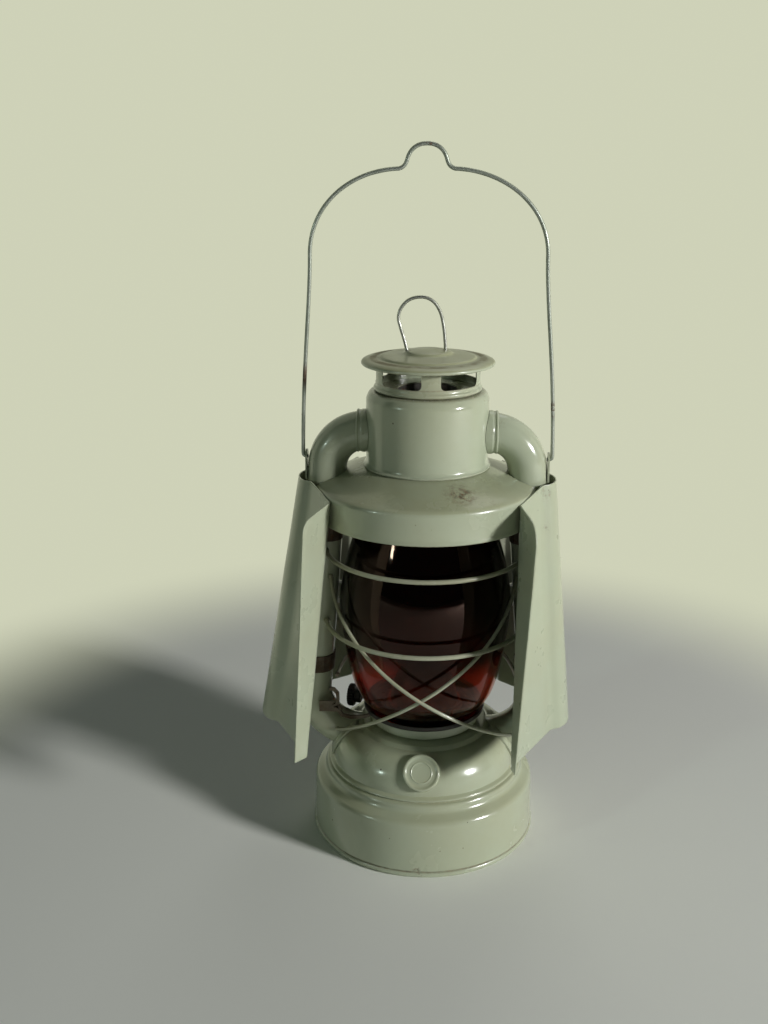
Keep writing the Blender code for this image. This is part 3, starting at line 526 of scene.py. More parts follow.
class Tree(Nodes):
    """Node tree of a material with one Principled shader."""

    def __init__(self, name: str) -> None:
        """Start a material.

        Args:
            name: Name of the material.
        """
        self.material = bpy.data.materials.new(name)
        self.material.use_nodes = True
        super().__init__(self.material.node_tree)
        self.shader = self.nodes["Principled BSDF"]
        where = self.add("ShaderNodeTexCoord").outputs
        self.place, self.normal = where["Object"], where["Normal"]

    def noise(self, scale: float, detail: float = 3.0, rough: float = 0.55,
              stretch: Point | None = None) -> Socket:
        """Noise over the object.

        Args:
            scale: Waves per metre.
            detail: Number of finer octaves.
            rough: Strength of the finer octaves.
            stretch: Scale along each axis, or None.

        Returns:
            The noise's value.
        """
        place = self.place
        if stretch:
            mapping = self.add("ShaderNodeMapping")
            self.give(mapping, Vector=place, Scale=stretch)
            place = mapping.outputs["Vector"]
        node = self.add("ShaderNodeTexNoise")
        self.give(node, Vector=place, Scale=scale, Detail=detail, Roughness=rough)
        return node.outputs["Fac"]

    def span(self, value: Socket, low: float, high: float, start: float = 0.0, end: float = 1.0,
             smooth: bool = True) -> Socket:
        """Map a range of a value to another one.

        Args:
            value: The value.
            low: Its value that gives start.
            high: Its value that gives end.
            start: Result at low.
            end: Result at high.
            smooth: Whether the passage is eased.

        Returns:
            The mapped value.
        """
        node = self.add("ShaderNodeMapRange", interpolation_type="SMOOTHSTEP" if smooth else "LINEAR")
        self.give(node, Value=value, From_Min=low, From_Max=high, To_Min=start, To_Max=end)
        return node.outputs["Result"]

    def mix(self, share: Socket | float, first: Socket | Colour, second: Socket | Colour) -> Socket:
        """Mix two colours.

        Args:
            share: Share of the second colour.
            first: First colour.
            second: Second colour.

        Returns:
            The mixed colour.
        """
        node = self.add("ShaderNodeMix", data_type="RGBA")
        self.feed(node.inputs["Factor"], share)
        self.feed(node.inputs[COLOUR_A], first)
        self.feed(node.inputs[COLOUR_B], second)
        return node.outputs[COLOUR_OUT]

    def part(self, vector: Socket, name: str) -> Socket:
        """One coordinate of a vector, by its letter."""
        split = self.add("ShaderNodeSeparateXYZ")
        self.feed(split.inputs[0], vector)
        return split.outputs[name]

    def near(self, spot: Point, reach: float) -> Socket:
        """Nearness to a point.

        Args:
            spot: The point in millimetres.
            reach: Distance at which it ends, in millimetres.

        Returns:
            1 on the point and 0 from the reach on.
        """
        node = self.add("ShaderNodeVectorMath", operation="DISTANCE")
        self.feed(node.inputs[0], self.place)
        self.feed(node.inputs[1], tuple(v * MM for v in spot))
        return self.span(node.outputs["Value"], reach * MM, reach * 0.2 * MM)

    def band(self, value: Socket, middle: float, width: float, core: float = 0.2) -> Socket:
        """Nearness of a distance in metres to a middle one.

        Args:
            value: The distance.
            middle: The middle one in millimetres.
            width: Half the band's width in millimetres.
            core: Share of the width that is wholly inside.

        Returns:
            1 in the band's core and 0 outside the band.
        """
        away = self.sum("ABSOLUTE", self.sum("SUBTRACT", value, middle * MM))
        return self.span(away, width * MM, width * core * MM)

    def dots(self, scale: float, size: float, share: float) -> Socket:
        """Scattered round specks.

        Args:
            scale: Cells per metre.
            size: Radius of a speck as a share of a cell.
            share: Share of the cells that have one.

        Returns:
            1 on a speck.
        """
        cells = self.add("ShaderNodeTexVoronoi")
        self.give(cells, Vector=self.place, Scale=scale)
        split = self.add("ShaderNodeSeparateColor")
        self.feed(split.inputs[0], cells.outputs["Color"])
        chosen = self.sum("GREATER_THAN", split.outputs[0], 1 - share)
        radius = self.sum("MULTIPLY", split.outputs[1], size)
        inside = self.sum("LESS_THAN", cells.outputs["Distance"], radius)
        return self.sum("MULTIPLY", chosen, inside)

    def bump(self, height: Socket, distance: float, strength: float = 1.0) -> None:
        """Raise the surface by a height, after any earlier bump.

        Args:
            height: Value of the height.
            distance: Height of 1 in millimetres.
            strength: Share of the bump.
        """
        node = self.add("ShaderNodeBump")
        self.give(node, Strength=strength, Distance=distance * MM, Height=height)
        normal = self.shader.inputs["Normal"]
        if normal.is_linked:
            self.feed(node.inputs["Normal"], normal.links[0].from_socket)
        self.feed(normal, node.outputs["Normal"])

    def end(self, **values: object) -> bpy.types.Material:
        """Feed the shader's sockets and return the material."""
        self.give(self.shader, **values)
        return self.material


@dataclass(frozen=True)
class Mark:
    """Rust mark at a point of the lamp."""

    spot: Point
    reach: float
    depth: float


@dataclass(frozen=True)
class Seam:
    """Level at which rust or dirt sits in a seam round the lamp."""

    height: float
    width: float
    depth: float


@dataclass(frozen=True)
class Groove:
    """Ring round the lamp's axis in which dirt lies."""

    radius: float
    width: float
    depth: float


@dataclass(frozen=True)
class Enamel:
    """Grey-green gloss enamel on sheet steel, with specks, chips, rust where it has started, and a dusting on
    what faces up that is partly painted shade darkening the tops.
    """

    base: Colour = (0.43, 0.475, 0.345)
    warm: Colour = (0.42, 0.445, 0.31)
    pale: Colour = (0.52, 0.55, 0.45)
    drip: Colour = (0.24, 0.20, 0.11)
    # Yellow-brown of the dusting, which is also painted shade on upward faces.
    dust_and_shade_tone: Colour = (0.30, 0.285, 0.11)
    dirt: Colour = (0.13, 0.10, 0.045)
    rust: Colour = (0.16, 0.065, 0.022)
    dark_rust: Colour = (0.045, 0.020, 0.010)
    gloss: float = 0.24
    marks: tuple[Mark, ...] = ()
    seams: tuple[Seam, ...] = ()
    groove: Groove | None = None
    chips: float = 0.79
    # Strength of the dusting on upward faces, partly painted shade on the tops.
    dust_and_shade: float = 0.0

    def dust_and_shade_mask(self, tree: Tree) -> Socket:
        """Share of dusting on what faces up, partly painted shade that darkens the tops."""
        patchy = tree.span(tree.noise(28, 5, 0.6), 0.25, 0.75, 0.55 * self.dust_and_shade, self.dust_and_shade)
        return tree.sum("MULTIPLY", tree.span(tree.part(tree.normal, "Z"), 0.3, 0.85), patchy)

    def grooved(self, tree: Tree, groove: Groove) -> Socket:
        """Share of dirt in a groove.

        Args:
            tree: The material's nodes.
            groove: The groove.

        Returns:
            The share.
        """
        flat = tree.add("ShaderNodeVectorMath", operation="MULTIPLY")
        tree.feed(flat.inputs[0], tree.place)
        tree.feed(flat.inputs[1], (1.0, 1.0, 0.0))
        worn = tree.span(tree.noise(40, 5, 0.65), 0.30, 0.62, 0.25 * groove.depth, groove.depth)
        near = tree.band(tree.length(flat.outputs["Vector"]), groove.radius, groove.width, 0.3)
        return tree.sum("MULTIPLY", near, worn)

    def rusted(self, tree: Tree, ragged: Socket) -> Socket:
        """Share of rust from the marks, the seams and the chips.

        Args:
            tree: The material's nodes.
            ragged: Noise that frays the rust.

        Returns:
            The share.
        """
        chips = tree.span(tree.noise(75, 7, 0.68), self.chips, self.chips + 0.025)
        rusty = tree.sum("MULTIPLY", chips, tree.span(tree.noise(11, 2), 0.50, 0.66))
        for mark in self.marks:
            frayed = tree.span(ragged, 0.60 - 0.20 * mark.depth, 0.74 - 0.16 * mark.depth, 0, mark.depth)
            patch = tree.sum("MULTIPLY", tree.near(mark.spot, mark.reach), frayed)
            rusty = tree.sum("MAXIMUM", rusty, patch)
        for seam in self.seams:
            near = tree.band(tree.part(tree.place, "Z"), seam.height, seam.width)
            patch = tree.sum("MULTIPLY", near, tree.span(ragged, 0.30, 0.62, 0.25 * seam.depth, seam.depth))
            rusty = tree.sum("MAXIMUM", rusty, patch)
        return rusty

    def make(self, name: str) -> bpy.types.Material:
        """Material of the enamel.

        Args:
            name: Name of the material.

        Returns:
            The material.
        """
        tree = Tree(name)
        colour = tree.mix(tree.span(tree.noise(16, 4), 0.32, 0.70), self.base, self.warm)
        mottle = tree.span(tree.noise(240, 3), 0.3, 0.7)
        colour = tree.mix(tree.sum("MULTIPLY", mottle, 0.05), colour, self.pale)
        drips = tree.span(tree.noise(30, 5, 0.6, (1, 1, 0.16)), 0.56, 0.80, 0, 0.16)
        colour = tree.mix(drips, colour, self.drip)
        # Upward faces turn darker and yellow-brown: partly dust, partly painted shade.
        dust_and_shade_share: Socket | float = 0.0
        if self.dust_and_shade:
            dust_and_shade_share = self.dust_and_shade_mask(tree)
            colour = tree.mix(dust_and_shade_share, colour, self.dust_and_shade_tone)
        if self.groove:
            dirty = self.grooved(tree, self.groove)
            colour = tree.mix(dirty, colour, self.dirt)
            dust_and_shade_share = tree.sum("MAXIMUM", dust_and_shade_share, dirty)
        ragged = tree.noise(330, 6, 0.72)
        rusty = self.rusted(tree, ragged)
        rust = tree.mix(tree.span(tree.noise(520, 4), 0.40, 0.62), self.rust, self.dark_rust)
        colour = tree.mix(tree.span(rusty, 0.0, 1.0, 0, 0.92, False), colour, rust)
        specks = tree.sum("MAXIMUM", tree.dots(150, 0.10, 0.05), tree.dots(420, 0.17, 0.012))
        colour = tree.mix(tree.sum("MULTIPLY", specks, 0.8), colour, self.dark_rust)
        rough = tree.span(tree.noise(45, 4), 0.3, 0.75, self.gloss - 0.04, self.gloss + 0.10)
        rough = tree.sum("MAXIMUM", rough, tree.sum("MULTIPLY", rusty, 0.85))
        rough = tree.sum("MAXIMUM", rough, tree.sum("MULTIPLY", dust_and_shade_share, 0.8))
        tree.bump(tree.noise(650, 2), 0.05, 0.30)
        tree.bump(tree.noise(38, 2), 0.5, 0.16)
        tree.bump(tree.sum("MULTIPLY", rusty, ragged), 0.20, 0.4)
        coat = tree.sum("SUBTRACT", 0.30, tree.sum("MULTIPLY", dust_and_shade_share, 0.4))
        return tree.end(Base_Color=colour, Roughness=rough, IOR=1.5, Coat_Weight=coat, Coat_Roughness=0.10)


@dataclass(frozen=True)
class RedGlass:
    """Signal red glass with a little grime and soot. Its red is painted: bright low down as painted light
    coming through from behind, near-black towards its top as painted shade.
    """

    # Painted light: the bright lower red stands for light coming through the glass from behind, the
    # near-black upper red for shade.
    low: Colour = (0.46, 0.070, 0.015)
    high: Colour = (0.020, 0.004, 0.003)
    soot: Colour = (0.05, 0.010, 0.008)
    shine: Colour = (1.0, 0.65, 0.55)
    painted_glow_z: float = 122.0
    painted_shade_z: float = 148.0

    def make(self, name: str) -> bpy.types.Material:
        """Material of the glass.

        Args:
            name: Name of the material.

        Returns:
            The material.
        """
        tree = Tree(name)
        # Painted light and shade: the red darkens with height, from a painted glow below to painted shade at
        # the top.
        wavy = tree.sum("MULTIPLY", tree.sum("SUBTRACT", tree.noise(22, 2), 0.5), 0.03)
        level = tree.sum("ADD", tree.part(tree.place, "Z"), wavy)
        colour = tree.mix(tree.span(level, self.painted_glow_z * MM, self.painted_shade_z * MM), self.low, self.high)
        colour = tree.mix(tree.span(tree.noise(34, 4), 0.48, 0.80, 0, 0.45), colour, self.soot)
        film = tree.span(tree.noise(60, 5, 0.6), 0.35, 0.8, 0.02, 0.08)
        tree.bump(tree.noise(26, 2), 0.6, 0.20)
        return tree.end(Base_Color=colour, Roughness=film, IOR=1.45, Specular_IOR_Level=0.11,
                        Specular_Tint=self.shine, Transmission_Weight=1.0)


@dataclass(frozen=True)
class Metal:
    """Worn bare or plated metal, dulled in patches."""

    bright: Colour
    dull: Colour
    stain: Colour = (0.10, 0.045, 0.018)
    polish: float = 0.30
    tarnish: float = 0.62
    metal: float = 1.0
    stains: float = 0.63
    marks: tuple[Mark, ...] = ()

    def make(self, name: str) -> bpy.types.Material:
        """Material of the metal.

        Args:
            name: Name of the material.

        Returns:
            The material.
        """
        tree = Tree(name)
        broad = tree.span(tree.noise(55, 5, 0.62), 0.36, 0.66)
        colour = tree.mix(broad, self.bright, self.dull)
        patch = tree.span(tree.noise(90, 6, 0.7), self.stains, self.stains + 0.07)
        ragged = tree.noise(420, 4, 0.65)
        for mark in self.marks:
            frayed = tree.span(ragged, 0.62 - 0.3 * mark.depth, 0.66 - 0.2 * mark.depth)
            near = tree.sum("MULTIPLY", tree.near(mark.spot, mark.reach), frayed)
            patch = tree.sum("MAXIMUM", patch, near)
        colour = tree.mix(tree.sum("MULTIPLY", patch, 0.85), colour, self.stain)
        rough = tree.span(broad, 0, 1, self.polish, self.tarnish)
        rough = tree.sum("MAXIMUM", rough, tree.sum("MULTIPLY", patch, 0.8))
        metallic = tree.span(patch, 0, 1, self.metal, 0.15)
        tree.bump(ragged, 0.06, 0.4)
        return tree.end(Base_Color=colour, Roughness=rough, Metallic=metallic)


@dataclass(frozen=True)
class Cotton:
    """Woven cotton wick, charred at its top."""

    fibre: Colour = (0.62, 0.56, 0.44)
    shade: Colour = (0.40, 0.34, 0.24)
    char: Colour = (0.02, 0.017, 0.015)
    char_z: float = 110.0
    char_h: float = 4.0

    def make(self, name: str) -> bpy.types.Material:
        """Material of the wick.

        Args:
            name: Name of the material.

        Returns:
            The material.
        """
        tree = Tree(name)
        rows = tree.add("ShaderNodeTexWave", wave_type="BANDS", bands_direction="Z")
        tree.give(rows, Vector=tree.place, Scale=420, Distortion=1.2)
        weave = rows.outputs["Fac"]
        colour = tree.mix(tree.sum("MULTIPLY", weave, 0.4), self.fibre, self.shade)
        level = tree.sum("ADD", tree.part(tree.place, "Z"), tree.sum("MULTIPLY", tree.noise(400), 0.004))
        burnt = tree.span(level, self.char_z * MM, (self.char_z + self.char_h) * MM)
        tree.bump(weave, 0.3, 0.8)
        return tree.end(Base_Color=tree.mix(burnt, colour, self.char), Roughness=0.95, Sheen_Weight=0.3)


@dataclass(frozen=True)
class Paper:
    """Matt pale ground that the lamp stands on, which runs into the pale surround far from it."""

    colour: Colour = (0.92, 0.93, 0.86)
    patch: Colour = (0.84, 0.85, 0.78)
    far: Colour = (0.62, 0.64, 0.48)
    fade_start: float = 0.32
    fade_end: float = 0.56

    def make(self, name: str) -> bpy.types.Material:
        """Material of the ground.

        Args:
            name: Name of the material.

        Returns:
            The material.
        """
        tree = Tree(name)
        tint = tree.mix(tree.span(tree.noise(5, 3), 0.3, 0.7, 0, 0.10), self.colour, self.patch)
        tree.bump(tree.noise(900, 2), 0.05, 0.2)
        material = tree.end(Base_Color=tint, Roughness=0.9, Specular_IOR_Level=0.2)
        seen = tree.backdrop_share(tree.part(tree.place, "Y"))
        far = tree.span(tree.length(tree.place), self.fade_start, self.fade_end)
        pale = tree.add("ShaderNodeEmission")
        tree.give(pale, Color=self.far)
        mixed = tree.mix_shaders(tree.sum("MULTIPLY", seen, far), tree.shader.outputs["BSDF"],
                                 pale.outputs["Emission"])
        tree.give(tree.nodes["Material Output"], Surface=mixed)
        return material


Finish = Enamel | RedGlass | Metal | Cotton

STEEL = Metal((0.50, 0.50, 0.46), (0.30, 0.30, 0.27), metal=0.9)
SOOTY = Metal((0.20, 0.19, 0.17), (0.06, 0.055, 0.05), polish=0.4, tarnish=0.75, stains=0.58)
BRASS = Metal((0.44, 0.32, 0.13), (0.20, 0.14, 0.065), (0.05, 0.035, 0.02), tarnish=0.6)
# Near-black metal: a blacked finish on the knob, and painted shade where it is put on the globe plate.
BLACKED_AND_SHADE = Metal((0.055, 0.050, 0.045), (0.03, 0.028, 0.025), polish=0.35, tarnish=0.6, metal=0.6)
RUSTED = Metal((0.15, 0.125, 0.09), (0.085, 0.055, 0.032), polish=0.45, tarnish=0.75, metal=0.5, stains=0.55)
LOOP_WIRE = Metal((0.52, 0.53, 0.48), (0.36, 0.37, 0.31), metal=0.85)
ZINC = Metal((0.46, 0.49, 0.43), (0.30, 0.33, 0.27), polish=0.28, tarnish=0.5, metal=0.65, stains=0.66,
             marks=(Mark((-79, 0, 320), 11, 1.0), Mark((79, 0, 300), 8, 0.5), Mark((0, 0, 462), 9, 0.4)))


class Assembly:
    """Sub-assembly of the lamp, which builds its pieces and dresses them."""

    body: str = "frame"

    def put(self, item: bpy.types.Object, node: str, slot: str, finish: Finish,
            body: str | None = None) -> None:
        """Dress a piece and join it to the frame.

        Args:
            item: The piece.
            node: CAD node that it stands for.
            slot: Material slot of the record; not used.
            finish: Finish that makes its material.
            body: Body that it moves with, or None for the assembly's own.
        """
        item.data.materials.clear()
        item.data.materials.append(finish.make(f"{item.name}_finish"))
        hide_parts(node)
        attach(item, body or self.body)
        LOG.info("%s: %d faces in place of %s", item.name, len(item.data.polygons), node)

    def dress(self, node: str, finish: Finish, soften: float = 0.0) -> None:
        """Give a CAD node a finish.

        Args:
            node: The node.
            finish: Finish that makes its material.
            soften: Width of its softened edges, or 0.
        """
        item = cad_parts[node]
        made = finish.make(f"{node}_finish")
        if not item.material_slots:
            item.data.materials.append(made)
        for slot in item.material_slots:
            slot.material = made
        if soften:
            ease_edges(item, soften)
        LOG.info("%s: CAD shape with its own finish", node)


# The lamp

@dataclass
class Dome:
    """Upper form of the fuel tank, which the tube feet and the filler stand on."""

    neck_r: float = 44.0
    foot_r: float = 63.9
    foot_z: float = 53.0
    height: float = 23.4
    top: float = 79.0
    steps: int = 25
    crown_turn: float = 84.0
    boss_turn: float = 40.0

    def line(self, offset: float = 0.0) -> Line:
        """Outer line from its neck down to its foot.

        Args:
            offset: Distance that the line is moved outwards.

        Returns:
            The (r, z) points.
        """
        points = []
        for step in range(self.steps + 1):
            turn = math.radians(self.crown_turn - self.crown_turn * step / self.steps)
            points.append((self.neck_r + (self.foot_r - self.neck_r + offset) * math.cos(turn),
                           self.foot_z + (self.height + offset) * math.sin(turn)))
        return points

    def solid(self, name: str, offset: float, foot: float = 23.0) -> bpy.types.Object:
        """Solid just outside the dome, to trim what is soldered to it.

        Args:
            name: Name of the tool.
            offset: Distance outside the dome.
            foot: Height of its foot.

        Returns:
            The tool.
        """
        line = [(0, self.top + offset), (self.neck_r - 1.6, self.top + offset),
                (self.neck_r + 0.4 + offset, self.top - 0.9)] + self.line(offset)
        line = [point for point in line if point[1] > foot]
        return turned(name, line + [(self.foot_r + offset, foot), (0, foot)], 128, False)

    def boss_frame(self) -> Matrix:
        """Place the boss on the dome's front.

        Returns:
            Frame whose z is the surface's normal.
        """
        turn = math.radians(self.boss_turn)
        wide = self.foot_r - self.neck_r
        tilt = math.atan2(math.sin(turn) / self.height, math.cos(turn) / wide)
        spot = (0, -self.neck_r - wide * math.cos(turn), self.foot_z + self.height * math.sin(turn))
        return Matrix.Translation(spot) @ Matrix.Rotation(math.pi / 2 - tilt, 4, "X")


@dataclass
class Tank(Assembly):
    """Base pan, fuel tank with its beads and boss, and the filler at the rear."""

    dome: Dome = field(default_factory=Dome)
    base_r: float = 78.0
    rim_h: float = 4.3
    roll_r: float = 2.15
    drum_r: float = 76.5
    drum_h: float = 36.5
    ledge_r: float = 68.6
    hole_r: float = 24.0
    boss_r: float = 12.2
    tube_r: float = 12.8
    foot_z: float = 66.2
    port_x: float = 53.0
    port_w: float = 30.0
    filler_y: float = 54.0
    filler_r: float = 8.5
    filler_top: float = 83.0
    filler_ribs: int = 36
    cap_r: float = 10.8
    cap_top: float = 88.0

    def pan(self) -> None:
        """Build the base pan with its rolled rim."""
        flange, rim, base = self.drum_r - GAP, self.rim_h, self.base_r
        roll = arc((base - self.roll_r, self.roll_r), self.roll_r, 78, -96, 16)
        collar = [(0, rim - 0.3), (flange - 1.8, rim - 0.3), (flange - 1.0, rim + 4.7), (flange, rim + 4.7),
                  (flange, rim)]
        under = [(base - 5.2, 0.5), (base - 7.5, 2.0), (base - 12, 2.4), (0, 2.4)]
        item = turned("base_pan_pressing", eased(collar + roll + under, 0.5, False), 160, False)
        rust = Enamel(seams=(Seam(4.1, 0.8, 0.55),), marks=(Mark((0, -78, 3), 5, 0.6),))
        self.put(item, "base_pan", "paint", rust)

    def tank(self) -> None:
        """Build the tank's pressing, with the boss on its front."""
        dome, ledge, drum, rim, top = self.dome, self.ledge_r, self.drum_r, self.rim_h, self.dome.top
        beads = flowing([(dome.foot_r, dome.foot_z), (dome.foot_r + 0.5, 52.6), (ledge - 2.5, 51.5),
                         (ledge - 2.1, 50.6), (ledge - 2.8, 49.7), (ledge - 0.9, 48.9), (ledge, 47.4),
                         (ledge + 0.1, 45.4), (ledge + 1.2, 43.5), (drum - 4.4, 41.9), (drum - 1.8, 40.2),
                         (drum - 0.4, 38.2), (drum, 35.8)], 4)
        outer = [(self.hole_r, top), (dome.neck_r - 2.4, top), (dome.neck_r - 0.4, top - 0.35),
                 (dome.neck_r + 0.6, top - 1.2)]
        outer += dome.line() + beads[1:] + [(self.base_r - 0.6, rim + 0.9), (self.base_r - 0.7, rim + GAP)]
        inner = [(self.base_r - 1.6, rim + GAP), (drum - 0.9, self.drum_h - 2),
                 (drum - 3.4, self.drum_h + 2.4), (ledge - 1.6, 45.6)]
        inner += dome.line(-1.0)[::-5] + [(dome.neck_r - 2.2, top - SHEET), (self.hole_r, top - SHEET)]
        item = turned("fuel_tank_pressing", eased(outer, 0.8, False) + inner, 192)
        for side in Side:
            port = along_x(side.value * self.port_x - self.port_w / 2, 0, self.foot_z)
            shape(item, rod("port", self.tube_r - SHEET, self.port_w, port))
        shape(item, rod("filler_hole", self.filler_r - SHEET, 40, Matrix.Translation((0, self.filler_y, 50))))
        bm = bmesh.new()
        bm.from_mesh(item.data)
        bmesh.ops.scale(bm, vec=(1 / MM, 1 / MM, 1 / MM), verts=bm.verts)
        r = self.boss_r
        rim = flowing([(r - 3.4, 1.05), (r - 2.5, 1.2), (r - 1.8, 1.55), (r - 1.1, 1.62), (r - 0.5, 1.45),
                       (r - 0.1, 0.9), (r, 0.2)], 3)
        ring = flowing([(5.9, 1.05), (6.3, 1.1), (6.6, 1.3), (7.0, 1.3), (7.3, 1.1), (7.7, 1.05)], 2)
        add_lathe(bm, [(0, 1.05)] + ring + rim + [(r, -6.5), (0, -6.5)], 96, False, dome.boss_frame())
        bpy.data.objects.remove(item, do_unlink=True)
        item = piece("fuel_tank_pressing", bm)
        # The dusting on the dome's upward faces is partly painted shade.
        rust = Enamel(seams=(Seam(4.7, 0.8, 0.55), Seam(49.8, 0.7, 0.22)), gloss=0.20, dust_and_shade=0.2,
                      marks=(Mark((-2, -76.5, 6), 4, 0.8), Mark((55, -30, 66), 8, 0.25),
                             Mark((-55, -10, 60), 14, 0.3)))
        self.put(item, "fuel_tank", "paint", rust)

    def filler(self) -> None:
        """Build the filler's neck and its ribbed cap."""
        place = Matrix.Translation((0, self.filler_y, 0))
        r, top = self.filler_r, self.filler_top
        neck = turned("filler_neck_tube", eased([(r - SHEET, top), (r, top), (r, 50), (r - SHEET, 50)], 0.3),
                      96, True, place)
        shape(neck, self.dome.solid("trim", GAP))
        self.put(neck, "filler_neck", "paint", Enamel())
        skirt, wide, high = r + 0.4, self.cap_r, self.cap_top
        crown = flowing([(0, high - 0.6), (4, high - 0.5), (6.5, high - 0.1), (wide - 2.2, high),
                         (wide - 1.0, high - 0.7)], 3)
        plain = crown + [(wide - 0.5, high - 1.5)]
        ribbed = [(wide - 0.25, high - 2.1), (wide - 0.25, top - 2.6), (wide - 0.4, top - 3.2)]
        under = [(wide - 0.8, top - 3.5), (skirt, top - 3.5), (skirt, top + GAP), (0, top + GAP)]
        depths = [0.0] * len(plain) + [0.22, 0.24, 0.1] + [0.0] * len(under)
        bm = bmesh.new()
        add_lathe(bm, plain + ribbed + under, 216, False, place, self.filler_ribs, depths)
        lid = piece("filler_cap_pressing", bm, 50)
        self.put(lid, "filler_cap", "paint", Enamel(chips=0.68), "filler_lid")

    def build(self) -> None:
        """Build and dress the base, the tank and the filler."""
        self.pan()
        self.tank()
        self.filler()


@dataclass
class Burner(Assembly):
    """Burner seat, cup, cone, wick and the wick's drive."""

    turn: float = 170.0
    seat_r: float = 38.0
    seat_top: float = 88.0
    tank_top: float = 79.0
    cup_r: float = 20.0
    cup_top: float = 92.0
    cone_top: float = 120.0
    wick_w: float = 15.0
    slot_w: float = 6.5
    shaft_r: float = 1.2
    shaft_z: float = 86.0
    shaft_off: float = 5.2
    knob_r: float = 8.0
    knob_t: float = 5.0
    knob_ribs: int = 24
    knob_at: float = 51.0
    hub_r: float = 5.2
    hub_t: float = 4.5

    def along_wick(self) -> Matrix:
        """Frame whose x runs along the wick, towards the knob."""
        return Matrix.Rotation(math.radians(self.turn), 4, "Z")

    def shaft(self) -> Matrix:
        """Frame on the shaft's axis."""
        return self.along_wick() @ Matrix.Translation((0, -self.shaft_off, self.shaft_z))

    def bore(self) -> bpy.types.Object:
        """Tool that opens the shaft's hole."""
        return rod("bore", self.shaft_r + GAP, self.seat_r, self.shaft() @ along_x(self.cup_r / 2, 0, 0), 24)

    def seat(self) -> None:
        """Build the pale ring, a shallow bowl, that stands on the tank."""
        r, foot, top = self.seat_r, self.tank_top + GAP, self.seat_top
        bowl = bezier(((r, top - 1.6), (r + 0.4, foot + 1.2), (r + 0.2, foot + 0.3), (r - 5.0, foot + 0.3)),
                      16)
        outer = [(r - 6.5, top), (r - 1.8, top)] + arc((r - 1.4, top - 1.5), 1.4, 80, 0, 6) + bowl[1:]
        inner = [(r - 6.0, foot), (r - 8.7, foot), (r - 8.7, foot + SHEET)]
        inner += [(radius - SHEET, height + 0.5) for radius, height in bowl[::-1][2:-1]]
        inner += [(r - 6.5, top - SHEET)]
        item = turned("burner_seat_ring", outer + inner, 128)
        shape(item, self.bore())
        self.put(item, "burner_seat", "paint", Enamel(seams=(Seam(79.3, 0.8, 0.5),), gloss=0.2))

    def cone(self) -> None:
        """Build the slotted cone over the wick."""
        foot = self.cup_top + GAP
        top = self.cone_top
        dome = flowing([(0, top), (9, top - 1), (16, top - 5), (20.5, top - 12), (23, foot + 5),
                        (23.4, foot + 1)], 5)
        inside = flowing([(22.6, foot + 1), (22.2, foot + 5), (19.7, top - 12.6), (15.4, top - 5.8),
                          (8.8, top - 1.9), (0, top - 0.9)], 5)
        item = turned("burner_cone_dome", dome + [(25.6, foot + SHEET), (25.6, foot)] + inside, 96, False)
        slot = self.along_wick() @ Matrix.Translation((0, 0, top))
        shape(item, block("slot", (self.wick_w + 5, self.slot_w, 16), slot))
        self.put(item, "burner_cone", "burner_brass", BRASS)

    def knob(self) -> None:
        """Build the ribbed knob at the shaft's end."""
        r, t, bore = self.knob_r, self.knob_t, self.shaft_r + GAP
        wide, deep = self.hub_r, self.hub_t
        hub = [(wide, 0), (wide, -deep + 0.8), (wide - 0.8, -deep), (bore, -deep)]
        outline = eased([(bore, t), (2.8, t), (3.2, t - 0.7), (r - 2.4, t - 0.9), (r - 1.7, t - 0.1),
                         (r - 0.9, t - 0.2), (r - 0.35, t - 1.0), (r - 0.35, 1.0), (r - 0.9, 0.2),
                         (r - 2.0, 0)] + hub, 0.35)
        depths = [0.34 * max(0.0, min(1.0, (radius - (r - 1.6)) / 1.1)) for radius, _ in outline]
        bm = bmesh.new()
        add_lathe(bm, outline, 192, True, self.shaft() @ along_x(self.knob_at, 0, 0), self.knob_ribs, depths)
        self.put(piece("wick_knob_ribbed", bm, 60), "wick_knob", "bare_wire", BLACKED_AND_SHADE, "wick_drive")

    def build(self) -> None:
        """Build and dress the burner."""
        self.seat()
        self.cone()
        self.knob()
        self.dress("burner_body", BRASS, 0.25)
        self.dress("wick_tube", BRASS, 0.15)
        self.dress("wick", Cotton(), 0.3)
        self.dress("wick_shaft", STEEL, 0.15)
        for wheel in ("wick_wheel_1", "wick_wheel_2"):
            self.dress(wheel, BRASS, 0.12)


